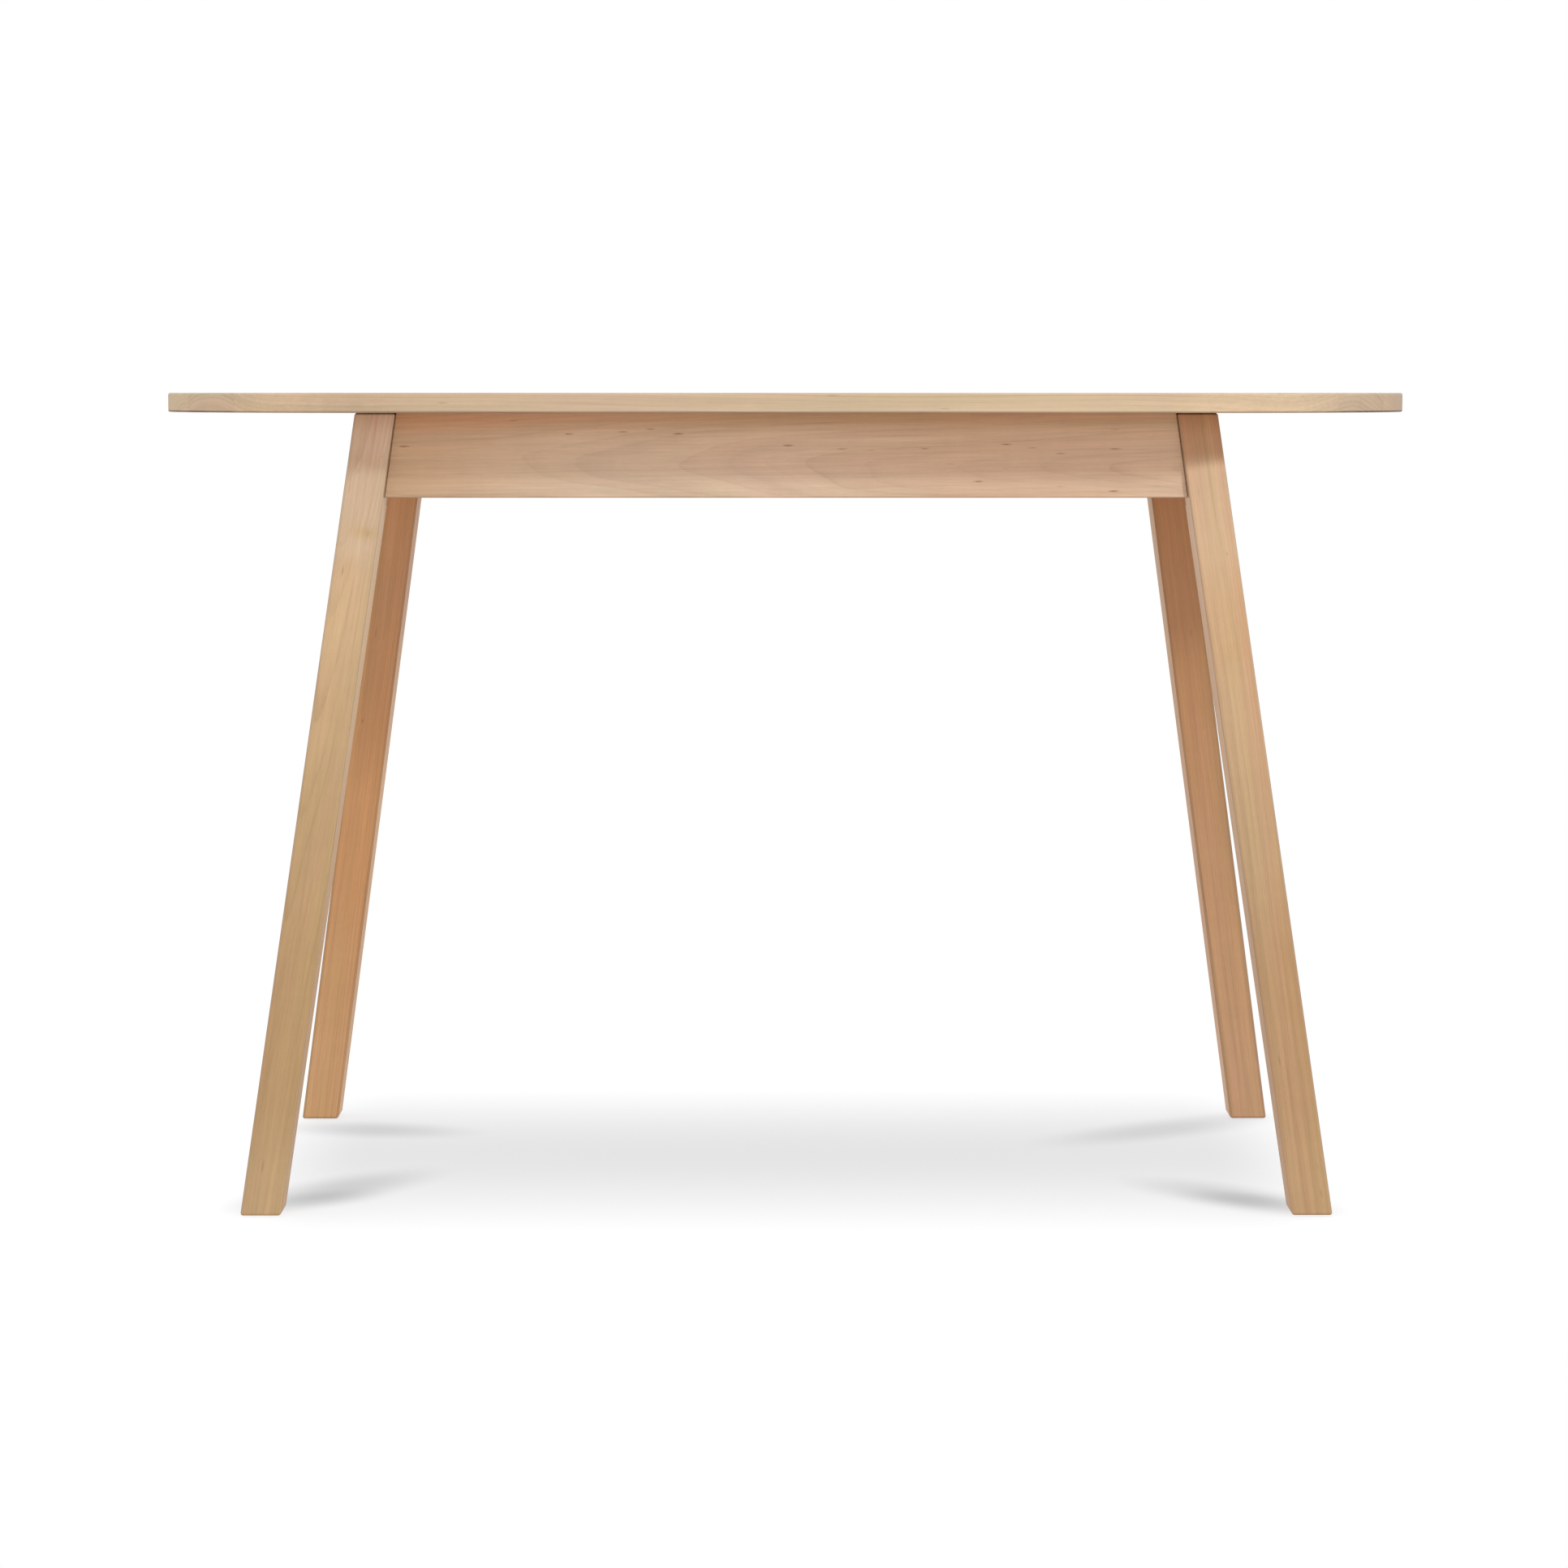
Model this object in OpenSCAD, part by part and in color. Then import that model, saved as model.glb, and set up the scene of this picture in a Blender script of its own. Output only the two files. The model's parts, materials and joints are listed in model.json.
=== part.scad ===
// Splay-leg table: an oval-ended solid wood top on four splayed, tapered legs.
// The rails butt against the legs. A wooden block across each inside corner
// ties two rails together, and two hanger bolts draw the leg up to the rail ends.
// Steel Z-clips in a groove of the rails hold the top down and let it shrink and swell.
// Millimetres. +Z up, +X along the length, the front is -Y. The origin is on the floor
// under the middle of the top.

/* [Top] */
// Overall length of the top, end to end
top_length = 1186; // [1160:2:1400]
// Overall depth of the top, front to back
top_depth = 700; // [680:10:800]
// Thickness of the top panel
top_thickness = 18; // [18:1:25]
// Radius of the shallow curve across each end
end_radius = 450; // [400:5:480]
// Radius of the curve that joins each long edge to an end
corner_radius = 200; // [180:5:220]

/* [Height] */
// Height of the top surface above the floor
table_height = 750; // [720:5:780]

/* [Legs] */
// Distance from the middle to the outer face of a leg, under the top
leg_reach_x = 395; // [380:5:400]
// Distance from the middle to the front face of a leg, under the top
leg_reach_y = 250; // [240:5:260]
// Width of a leg seen from the front, the same from top to foot
leg_width = 37; // [36:1:42]
// Depth of a leg under the top, front to back
leg_depth_top = 63; // [60:1:66]
// Depth of a leg at the floor, front to back
leg_depth_foot = 50; // [44:1:60]
// Sideways splay of the legs in degrees
splay_x = 8.1; // [5:0.1:9]
// Forward splay of the leg's outer face in degrees
splay_y = 5.35; // [4:0.05:6]
// Radius of the eased arrises of a leg
leg_arris = 2.5; // [1.5:0.5:3]
// Gap between a leg's top end and the top panel, so that the rails carry the top
leg_top_gap = 0.2; // [0.1:0.1:1.5]

/* [Rails] */
// Height of the four rails
rail_height = 78; // [75:1:90]
// Thickness of the four rails
rail_thickness = 20; // [18:1:22]
// How far the rails stand back from the leg faces, under the top
rail_setback = 5; // [3:0.5:6]
// Height of the clip groove, one saw cut
groove_width = 2.5; // [2:0.5:3]
// Depth of the clip groove
groove_depth = 8; // [7:0.5:9]
// Distance from the rail's top edge down to the groove's upper wall
groove_drop = 11.5; // [11:0.5:13]

/* [Corner blocks] */
// Thickness of a corner block across the corner
block_thickness = 25; // [22:1:28]
// Height of a corner block
block_height = 64; // [58:1:66]
// Clear space between a corner block and the leg it pulls on
block_gap = 8; // [6:1:12]

/* [Hardware] */
// Diameter of the hanger bolts
bolt_diameter = 8; // [6:1:8]
// Height between the two hanger bolts of a leg
bolt_pitch = 32; // [28:1:34]
// How deep a hanger bolt screws into its leg
bolt_bite = 32; // [26:1:34]
// Diameter of the screws through the corner blocks
block_screw_diameter = 4; // [3.5:0.5:4.5]
// Diameter of the screws through the clips
clip_screw_diameter = 4; // [3.5:0.5:4]
// Thickness of the clip steel
clip_steel = 1.5; // [1.2:0.1:1.8]
// Width of a clip
clip_width = 20; // [16:1:24]
// Distance between the clips along a long rail
clip_spacing = 230; // [200:5:240]

/* [Feet] */
// Diameter of the nylon glide under each foot
glide_diameter = 22; // [18:1:24]
// How far a glide stands out of the foot
glide_proud = 1; // [0.5:0.5:2]
// How deep a glide is let into the foot
glide_recess = 2.5; // [2:0.5:3]

/* [Hidden] */
$fn = 64;

fit = 0.05;                                // clearance on each side of a fastener
joint_gap = 0.1;                           // between a rail's end and its leg
overcut = 1;                               // how far a cutter runs past a face
root2 = sqrt(2);

underside = table_height - top_thickness;  // height of the top's underside
leg_top = underside - leg_top_gap;
leg_bottom = glide_proud;
rail_bottom = underside - rail_height;
groove_top = underside - groove_drop;

// Leg faces, as distances from the middle at height z
function leg_outer_x(z) = leg_reach_x + (underside - z) * tan(splay_x);
function leg_inner_x(z) = leg_outer_x(z) - leg_width;
function leg_outer_y(z) = leg_reach_y + (underside - z) * tan(splay_y);
function leg_depth(z) = leg_depth_foot + (leg_depth_top - leg_depth_foot) * z / underside;
function leg_inner_y(z) = leg_outer_y(z) - leg_depth(z);

// A leg's inner arris at height z: its distance out along the 45 degree line,
// and its place sideways of that line, positive towards the table's ends
function arris_out(z) = (leg_inner_x(z) + leg_inner_y(z)) / root2;
function arris_side(z) = (leg_inner_x(z) - leg_inner_y(z)) / root2;

// Rail faces
rail_outer_y = leg_reach_y - rail_setback; // long rails
rail_inner_y = rail_outer_y - rail_thickness;
rail_outer_x = leg_reach_x - rail_setback; // end rails
rail_inner_x = rail_outer_x - rail_thickness;

// Block faces, as distances out along the 45 degree line
block_outer = arris_out(leg_top) - block_gap;
block_inner = block_outer - block_thickness;
block_lift = 6;                            // from the rails' bottom edge to the block
block_mid_z = rail_bottom + block_lift + block_height / 2;

// Bolt places
bolt_radius = bolt_diameter / 2;
bolt_z = [block_mid_z - bolt_pitch / 2, block_mid_z + bolt_pitch / 2];
bolt_side = arris_side(block_mid_z) - 2;   // a little off the arris, clear of the end rail

/* Helpers */

// Moves a child made for the +X +Y corner to the corner at side_x, side_y
module corner(side_x, side_y) {
    mirror([side_x < 0 ? 1 : 0, 0, 0])
        mirror([0, side_y < 0 ? 1 : 0, 0])
            children();
}

// Copies a child made for the +X +Y corner to all four corners
module corners() {
    for (side_x = [-1, 1])
        for (side_y = [-1, 1])
            corner(side_x, side_y) children();
}

// Places a child so that its +Z axis runs outwards along the 45 degree line
module on_diagonal(out, side, z) {
    translate([(out + side) / root2, (out - side) / root2, z]) rotate([0, 90, 45]) children();
}

// Places a child at both bolts of the +X +Y corner, starting at distance out
module at_bolts(out) {
    for (z = bolt_z)
        on_diagonal(out, bolt_side, z) children();
}

// A wood screw pointing up +Z: the head's underside is at the origin
module wood_screw(diameter, length, head_diameter, head_height) {
    cross_length = head_diameter * 0.56;
    cross_width = 0.8;
    cross_depth = head_height * 0.6;
    tip_radius = 0.3;
    difference() {
        union() {
            translate([0, 0, -head_height]) cylinder(r = head_diameter / 2, h = head_height);
            cylinder(r = diameter / 2, h = length - diameter);
            translate([0, 0, length - diameter])
                cylinder(r1 = diameter / 2, r2 = tip_radius, h = diameter);
        }
        for (angle = [0, 90])
            rotate(angle)
                translate([-cross_length / 2, -cross_width / 2, -head_height - overcut])
                    cube([cross_length, cross_width, overcut + cross_depth]);
    }
}

/* Top */

// Plan of the top: straight long edges, corner arcs and end arcs, all tangent
end_centre_x = top_length / 2 - end_radius;
corner_centre_y = top_depth / 2 - corner_radius;
corner_centre_x = end_centre_x
    + sqrt(pow(end_radius - corner_radius, 2) - pow(corner_centre_y, 2));
tangent_angle = atan2(corner_centre_y, corner_centre_x - end_centre_x);
tangent_x = end_centre_x + end_radius * cos(tangent_angle);
tangent_y = end_radius * sin(tangent_angle);
top_hole_depth = 11.5;

module top_plan() {
    polygon([
        [-corner_centre_x, -top_depth / 2], [corner_centre_x, -top_depth / 2],
        [tangent_x, -tangent_y], [tangent_x, tangent_y],
        [corner_centre_x, top_depth / 2], [-corner_centre_x, top_depth / 2],
        [-tangent_x, tangent_y], [-tangent_x, -tangent_y]
    ]);
    for (side_x = [-1, 1]) {
        for (side_y = [-1, 1])
            translate([side_x * corner_centre_x, side_y * corner_centre_y])
                circle(r = corner_radius, $fn = 180);
        intersection() {
            translate([side_x * end_centre_x, 0]) circle(r = end_radius, $fn = 240);
            translate([side_x > 0 ? tangent_x - overcut : -top_length, -tangent_y])
                square([top_length - tangent_x + overcut, 2 * tangent_y]);
        }
    }
}

module top_panel() {
    color("burlywood") difference() {
        translate([0, 0, underside]) linear_extrude(height = top_thickness) top_plan();
        at_clips(underside)
            translate([clip_hole, 0, -overcut])
                cylinder(r = clip_screw_diameter / 2 + fit, h = top_hole_depth + overcut);
    }
}

/* Rails */

long_groove_cut = 1000;                    // cutter lengths, longer than the rails
end_groove_cut = 800;

// A rail lying on its face. Its ends lean with the legs' inner faces.
module rail_blank(half_top, half_bottom) {
    linear_extrude(height = rail_thickness) polygon([
        [-half_top, underside], [half_top, underside],
        [half_bottom, rail_bottom], [-half_bottom, rail_bottom]
    ]);
}

// The long rail at the back
module long_rail() {
    difference() {
        translate([0, rail_outer_y, 0]) rotate([90, 0, 0])
            rail_blank(leg_inner_x(underside) - joint_gap, leg_inner_x(rail_bottom) - joint_gap);
        translate([-long_groove_cut / 2, rail_inner_y - overcut, groove_top - groove_width])
            cube([long_groove_cut, groove_depth + overcut, groove_width]);
        for (side_x = [-1, 1])
            corner(side_x, 1) at_block_screws(true) block_screw_hole();
    }
}

// The end rail at the right
module end_rail() {
    difference() {
        translate([rail_outer_x, 0, 0]) rotate([90, 0, -90])
            rail_blank(leg_inner_y(underside) - joint_gap, leg_inner_y(rail_bottom) - joint_gap);
        translate([rail_inner_x - overcut, -end_groove_cut / 2, groove_top - groove_width])
            cube([groove_depth + overcut, end_groove_cut, groove_width]);
        for (side_y = [-1, 1])
            corner(1, side_y) at_block_screws(false) block_screw_hole();
    }
}

module front_rail() { color("tan") mirror([0, 1, 0]) long_rail(); }
module back_rail() { color("tan") long_rail(); }
module right_rail() { color("tan") end_rail(); }
module left_rail() { color("tan") mirror([1, 0, 0]) end_rail(); }

/* Legs */

// Lean of a leg's inner face, front to back
inner_lean = atan((leg_inner_y(0) - leg_inner_y(underside)) / underside);

// Flat along a leg's inner arris, where the hanger bolts go in
flat_depth = 7;
flat_cut_width = 40;
flat_cut_slice = 0.1;
flat_above = 2;                            // cutter's reach above the leg's top
flat_below = 8;                            // flat's reach below the rails

bolt_hole_lead = 10;                       // cutter's start before the arris
bolt_hole_spare = 2;                       // hole's depth beyond the bolt's tip

foot_x = (leg_outer_x(0) + leg_inner_x(0)) / 2;
foot_y = (leg_outer_y(0) + leg_inner_y(0)) / 2;
glide_gap = 0.25;                          // around a glide in its recess
nail_hole_depth = 17;

// Spheres at the leg's eight corners ease every arris
module leg_blank() {
    r = leg_arris;
    hull()
        for (z = [leg_bottom + r, leg_top - r])
            for (x = [leg_outer_x(z) - r / cos(splay_x), leg_inner_x(z) + r / cos(splay_x)])
                for (y = [leg_outer_y(z) - r / cos(splay_y), leg_inner_y(z) + r / cos(inner_lean)])
                    translate([x, y, z]) sphere(r = r, $fn = 24);
}

// The leg of the +X +Y corner
module leg() {
    difference() {
        leg_blank();
        hull()
            for (z = [leg_top + flat_above, rail_bottom - flat_below])
                translate([leg_inner_x(z), leg_inner_y(z), z]) rotate(45)
                    cube([2 * flat_depth, flat_cut_width, flat_cut_slice], center = true);
        for (z = bolt_z)
            on_diagonal(arris_out(z), bolt_side, z)
                translate([0, 0, -bolt_hole_lead])
                    cylinder(
                        r = bolt_radius + fit,
                        h = bolt_hole_lead + flat_depth + bolt_bite + bolt_hole_spare
                    );
        translate([foot_x, foot_y, leg_bottom - overcut])
            cylinder(r = glide_diameter / 2 + glide_gap, h = glide_recess + overcut);
        translate([foot_x, foot_y, leg_bottom])
            cylinder(r = nail_radius + fit, h = nail_hole_depth);
    }
}

module leg_front_left() { color("burlywood") corner(-1, -1) leg(); }
module leg_front_right() { color("burlywood") corner(1, -1) leg(); }
module leg_back_left() { color("burlywood") corner(-1, 1) leg(); }
module leg_back_right() { color("burlywood") corner(1, 1) leg(); }

/* Corner blocks */

// x + y anywhere on the block's outer and inner faces
block_outer_sum = block_outer * root2;
block_inner_sum = block_inner * root2;
block_blunt = 2.5;                         // length cut off along each pointed end
block_bolt_clearance = 0.5;

block_screw_length = 28;
block_screw_hole_depth = 31;
block_screw_seat = 14.5;                   // from the head's seat to the rail face
block_screw_inset = 19;                    // from the block's pointed end to the screw
block_screw_pitch = 28;                    // height between the two screws of a rail
counterbore_radius = 4.5;
counterbore_cut = 30;

// Places a child at the head seats of the two screws that point into one rail
module at_block_screws(into_long_rail) {
    for (z = [block_mid_z - block_screw_pitch / 2, block_mid_z + block_screw_pitch / 2])
        if (into_long_rail)
            translate([
                block_inner_sum - rail_inner_y + block_screw_inset,
                rail_inner_y - block_screw_seat,
                z
            ]) rotate([-90, 0, 0]) children();
        else
            translate([
                rail_inner_x - block_screw_seat,
                block_inner_sum - rail_inner_x + block_screw_inset,
                z
            ]) rotate([0, 90, 0]) children();
}

module block_screw_hole() {
    cylinder(r = block_screw_diameter / 2 + fit, h = block_screw_hole_depth);
}

// The block of the +X +Y corner
module corner_block() {
    inner_end_x = block_inner_sum - rail_inner_y;
    inner_end_y = block_inner_sum - rail_inner_x;
    difference() {
        translate([0, 0, block_mid_z - block_height / 2])
            linear_extrude(height = block_height) polygon([
                [block_outer_sum - rail_inner_y, rail_inner_y],
                [rail_inner_x, block_outer_sum - rail_inner_x],
                [rail_inner_x, inner_end_y + block_blunt],
                [rail_inner_x - block_blunt / 2, inner_end_y + block_blunt / 2],
                [inner_end_x + block_blunt / 2, rail_inner_y - block_blunt / 2],
                [inner_end_x + block_blunt, rail_inner_y]
            ]);
        at_bolts(block_inner - overcut)
            cylinder(r = bolt_radius + block_bolt_clearance, h = block_thickness + 2 * overcut);
        for (into_long_rail = [true, false])
            at_block_screws(into_long_rail) {
                block_screw_hole();
                translate([0, 0, -counterbore_cut])
                    cylinder(r = counterbore_radius, h = counterbore_cut);
            }
    }
}

module corner_block_front_left() { color("wheat") corner(-1, -1) corner_block(); }
module corner_block_front_right() { color("wheat") corner(1, -1) corner_block(); }
module corner_block_back_left() { color("wheat") corner(-1, 1) corner_block(); }
module corner_block_back_right() { color("wheat") corner(1, 1) corner_block(); }

module block_screws() {
    color("silver") corners()
        for (into_long_rail = [true, false])
            at_block_screws(into_long_rail)
                wood_screw(block_screw_diameter, block_screw_length,
                    head_diameter = 8, head_height = 2.6);
}

/* Bolts that hold the legs */

// Stack on a bolt, from the block's inner face inwards
washer_thickness = 1.6;
washer_radius = 8;
lock_thickness = 2;
lock_radius = 7;
lock_gap = 0.01;                           // on each side of a lock washer
lock_split = 1.2;                          // width of the split
lock_split_tilt = 20;
nut_height = 6.5;
nut_across_flats = 13;

washer_start = block_inner - washer_thickness;
lock_start = washer_start - lock_thickness;
nut_start = lock_start - nut_height;
bolt_start = nut_start - 4;                // the bolt shows beyond its nut
bolt_chamfer = 0.8;
bolt_point = 4;                            // length of the pointed end in the leg
bolt_point_radius = 0.6;

module hanger_bolts() {
    color("silver") corners()
        for (z = bolt_z) {
            length = arris_out(z) + flat_depth + bolt_bite - bolt_start;
            on_diagonal(bolt_start, bolt_side, z) {
                cylinder(r1 = bolt_radius - bolt_chamfer, r2 = bolt_radius, h = bolt_chamfer);
                translate([0, 0, bolt_chamfer])
                    cylinder(r = bolt_radius, h = length - bolt_point - bolt_chamfer);
                translate([0, 0, length - bolt_point])
                    cylinder(r1 = bolt_radius, r2 = bolt_point_radius, h = bolt_point);
            }
        }
}

// Cutter for the bolt's way through a washer or nut
module bore(clearance, thickness) {
    translate([0, 0, -overcut])
        cylinder(r = bolt_radius + clearance, h = thickness + 2 * overcut);
}

module bolt_washers() {
    color("silver") corners() at_bolts(washer_start) difference() {
        cylinder(r = washer_radius, h = washer_thickness);
        bore(0.2, washer_thickness);
    }
}

// Split spring washers, pressed flat
module bolt_lock_washers() {
    color("gray") corners() at_bolts(lock_start + lock_gap) difference() {
        cylinder(r = lock_radius, h = lock_thickness - 2 * lock_gap);
        bore(0.1, lock_thickness);
        rotate([lock_split_tilt, 0, 90])
            translate([0, -lock_split / 2, -4]) cube([12, lock_split, 12]);
    }
}

module bolt_nuts() {
    color("silver") corners() at_bolts(nut_start) difference() {
        cylinder(r = nut_across_flats / 2 / cos(30), h = nut_height, $fn = 6);
        bore(fit, nut_height);
    }
}

/* Clips that hold the top */

// Distances inwards from a rail's inner face
clip_lip = -7;                             // edge of the lip in the groove
clip_rise = 3;                             // upright part
clip_hole = 17;
clip_end = 26;
clip_hole_clearance = 0.25;

// x, y on a rail's inner face, angle that turns +X inwards
clip_spots = [
    [-clip_spacing, -rail_inner_y, 90], [0, -rail_inner_y, 90], [clip_spacing, -rail_inner_y, 90],
    [-clip_spacing, rail_inner_y, -90], [0, rail_inner_y, -90], [clip_spacing, rail_inner_y, -90],
    [-rail_inner_x, 0, 0], [rail_inner_x, 0, 180]
];

module at_clips(z) {
    for (spot = clip_spots)
        translate([spot[0], spot[1], z]) rotate(spot[2]) children();
}

module clip() {
    rise_end = clip_rise + clip_steel;
    difference() {
        translate([0, clip_width / 2, 0]) rotate([90, 0, 0])
            linear_extrude(height = clip_width) polygon([
                [clip_lip, groove_top - clip_steel], [rise_end, groove_top - clip_steel],
                [rise_end, underside - clip_steel], [clip_end, underside - clip_steel],
                [clip_end, underside], [clip_rise, underside],
                [clip_rise, groove_top], [clip_lip, groove_top]
            ]);
        translate([clip_hole, 0, underside - 5])
            cylinder(r = clip_screw_diameter / 2 + clip_hole_clearance, h = 10);
    }
}

module top_clips() { color("silver") at_clips(0) clip(); }

module top_clip_screws() {
    color("silver") at_clips(underside - clip_steel)
        translate([clip_hole, 0, 0])
            wood_screw(clip_screw_diameter, 12.5, head_diameter = 8, head_height = 2.4);
}

/* Feet */

glide_chamfer = 0.8;
nail_z = 1.2;                              // underside of the nail's head
nail_radius = 1;
nail_head_radius = 3;
nail_head_height = 1;
nail_shank = 13;                           // from the head's underside to the point
nail_point = 2.5;
nail_point_radius = 0.1;

module foot_glides() {
    radius = glide_diameter / 2;
    color("ivory") corners() translate([foot_x, foot_y, 0]) difference() {
        union() {
            cylinder(r1 = radius - glide_chamfer, r2 = radius, h = glide_chamfer);
            translate([0, 0, glide_chamfer])
                cylinder(r = radius, h = glide_proud + glide_recess - glide_chamfer);
        }
        translate([0, 0, nail_z]) cylinder(r = nail_radius + fit, h = 10);
        translate([0, 0, nail_z]) cylinder(r = nail_head_radius + fit, h = nail_head_height + fit);
    }
}

// The nail moulded into each glide
module glide_nails() {
    color("silver") corners() translate([foot_x, foot_y, nail_z]) {
        cylinder(r = nail_head_radius, h = nail_head_height);
        cylinder(r = nail_radius, h = nail_shank);
        translate([0, 0, nail_shank])
            cylinder(r1 = nail_radius, r2 = nail_point_radius, h = nail_point);
    }
}

top_panel();
front_rail();
back_rail();
left_rail();
right_rail();
leg_front_left();
leg_front_right();
leg_back_left();
leg_back_right();
corner_block_front_left();
corner_block_front_right();
corner_block_back_left();
corner_block_back_right();
block_screws();
hanger_bolts();
bolt_washers();
bolt_lock_washers();
bolt_nuts();
top_clips();
top_clip_screws();
foot_glides();
glide_nails();
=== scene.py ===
"""A maple table: a flat top with rounded ends on four splayed legs, joined by four rails.

The table stands on z = 0 with its middle over the origin. Its long side lies along X,
and its front faces -Y, so right is +X. Corner blocks, bolts, screws and clips hold it
together under the top, and each foot has a nylon glide. Lengths are in metres.
"""
import json
import math
import bpy
import bmesh
from mathutils import Matrix, Vector

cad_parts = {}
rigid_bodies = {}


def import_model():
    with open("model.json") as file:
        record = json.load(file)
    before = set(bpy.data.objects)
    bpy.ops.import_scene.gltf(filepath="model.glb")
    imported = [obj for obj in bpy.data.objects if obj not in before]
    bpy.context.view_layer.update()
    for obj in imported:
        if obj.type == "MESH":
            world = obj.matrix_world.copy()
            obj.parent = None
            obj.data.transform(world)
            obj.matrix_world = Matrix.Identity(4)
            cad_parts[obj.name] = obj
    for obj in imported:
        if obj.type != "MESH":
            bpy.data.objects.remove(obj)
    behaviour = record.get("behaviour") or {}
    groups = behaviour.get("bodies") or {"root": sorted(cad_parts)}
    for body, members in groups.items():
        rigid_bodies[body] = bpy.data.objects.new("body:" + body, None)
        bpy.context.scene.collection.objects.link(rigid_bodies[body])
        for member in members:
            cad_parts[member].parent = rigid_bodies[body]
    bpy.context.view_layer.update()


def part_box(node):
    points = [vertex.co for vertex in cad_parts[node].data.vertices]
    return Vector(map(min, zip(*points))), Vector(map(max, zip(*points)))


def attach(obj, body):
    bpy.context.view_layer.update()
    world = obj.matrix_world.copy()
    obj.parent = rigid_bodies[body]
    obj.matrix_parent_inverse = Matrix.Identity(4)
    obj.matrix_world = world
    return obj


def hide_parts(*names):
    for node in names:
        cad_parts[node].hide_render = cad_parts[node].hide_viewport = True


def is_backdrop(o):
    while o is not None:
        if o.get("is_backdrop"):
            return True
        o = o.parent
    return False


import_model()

ROOT2 = math.sqrt(2)
SIDES = (-1, 1)
CORNERS = [(side_x, side_y) for side_x in SIDES for side_y in SIDES]


# ---------------------------------------------------------------- dimensions
# The boxes of the loaded pieces give the main sizes. An ending I means the inner face.
# Corner parts are laid out at the +X +Y corner and mirrored to the others.
top_lo, top_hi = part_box("top_panel")
UNDER, SURFACE = top_lo.z, top_hi.z
HALF_L, HALF_W = round(top_hi.x, 3), top_hi.y
END_R, CORNER_R = 0.450, 0.200
TOP_ARRIS, UNDER_ARRIS = 0.0020, 0.0016

leg_lo, leg_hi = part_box("leg_back_right")
LEG_FOOT, LEG_TOP = leg_lo.z, leg_hi.z
SPLAY_X, SPLAY_Y = math.tan(math.radians(8.1)), math.tan(math.radians(5.35))
LEG_W, LEG_D_TOP, LEG_D_FOOT, LEG_ARRIS = 0.037, 0.063, 0.050, 0.0025
REACH_X, REACH_Y = 0.395, 0.250    # outer faces of a leg at the underside of the top

rail_lo, rail_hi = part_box("back_rail")
end_lo, end_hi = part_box("right_rail")
RAIL_BOTTOM, RAIL_Y, RAIL_YI = rail_lo.z, rail_hi.y, rail_lo.y
RAIL_X, RAIL_XI = end_hi.x, end_lo.x
GROOVE_TOP, GROOVE_W, GROOVE_D = UNDER - 0.0115, 0.0025, 0.008

block_lo, block_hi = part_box("corner_block_back_right")
BLOCK_T, BLOCK_GAP = 0.025, 0.008
BLOCK_MID = (block_lo.z + block_hi.z) / 2
LEG_FLAT = 0.007                   # depth of the flat cut on the leg's inner corner


def leg_x_out(z): return REACH_X + (UNDER - z) * SPLAY_X


def leg_x_in(z): return leg_x_out(z) - LEG_W


def leg_y_out(z): return REACH_Y + (UNDER - z) * SPLAY_Y


def leg_y_in(z):
    return leg_y_out(z) - (LEG_D_FOOT + (LEG_D_TOP - LEG_D_FOOT) * z / UNDER)


def leg_corner(z):
    """Distance of the leg's inner corner along the 45 degree line."""
    return (leg_x_in(z) + leg_y_in(z)) / ROOT2


# distances along the 45 degree line end in N, sideways ones in T
BLOCK_OUT_N = leg_corner(LEG_TOP) - BLOCK_GAP
BLOCK_IN_N = BLOCK_OUT_N - BLOCK_T
BOLT_Z = (BLOCK_MID - 0.016, BLOCK_MID + 0.016)
BOLT_T = (leg_x_in(BLOCK_MID) - leg_y_in(BLOCK_MID)) / ROOT2 - 0.002
BOLT_IN_LEG = 0.032                # from the flat to the bolt's tip
BOLT_SHOWS = 0.004                 # bolt end beyond the nut
WASHER_T, LOCK_T, NUT_H = 0.0016, 0.0020, 0.0065
WASHER_N = BLOCK_IN_N - WASHER_T
LOCK_N = WASHER_N - LOCK_T
NUT_N = LOCK_N - NUT_H

SCREW_Z = (BLOCK_MID - 0.014, BLOCK_MID + 0.014)
SCREW_LONG_X = BLOCK_IN_N * ROOT2 - RAIL_YI + 0.019
SCREW_END_Y = BLOCK_IN_N * ROOT2 - RAIL_XI + 0.019
SCREW_SET = 0.0145                 # from the rail's inner face to under the screw head
PILOT_R, COUNTERBORE_R = 0.00205, 0.0045
FOOT_X = (leg_x_out(0) + leg_x_in(0)) / 2
FOOT_Y = (leg_y_out(0) + leg_y_in(0)) / 2

CLIP_T, CLIP_SCREW_X = 0.0015, 0.017
# x, y, turn in degrees: three clips on each long rail and one on each end rail
CLIP_SPOTS = [(x, side * RAIL_YI, -side * 90) for side in SIDES for x in (-0.230, 0, 0.230)]
CLIP_SPOTS += [(-RAIL_XI, 0, 0), (RAIL_XI, 0, 180)]


# ---------------------------------------------------------------- frames
move = Matrix.Translation


def turn(degrees, axis):
    return Matrix.Rotation(math.radians(degrees), 4, axis)


def corner_matrix(side_x, side_y):
    return Matrix.Diagonal((side_x, side_y, 1, 1))


def diagonal(outward, sideways, z):
    """The frame whose +Z runs outwards along the 45 degree line of the +X +Y corner."""
    place = ((outward + sideways) / ROOT2, (outward - sideways) / ROOT2, z)
    return move(place) @ turn(45, "Z") @ turn(90, "Y")


def long_screw(z, side_x=1, side_y=1):
    """The frame of a screw through a block into a long rail."""
    place = (side_x * SCREW_LONG_X, side_y * (RAIL_YI - SCREW_SET), z)
    return move(place) @ Matrix.Rotation(-side_y * math.pi / 2, 4, "X")


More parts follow.
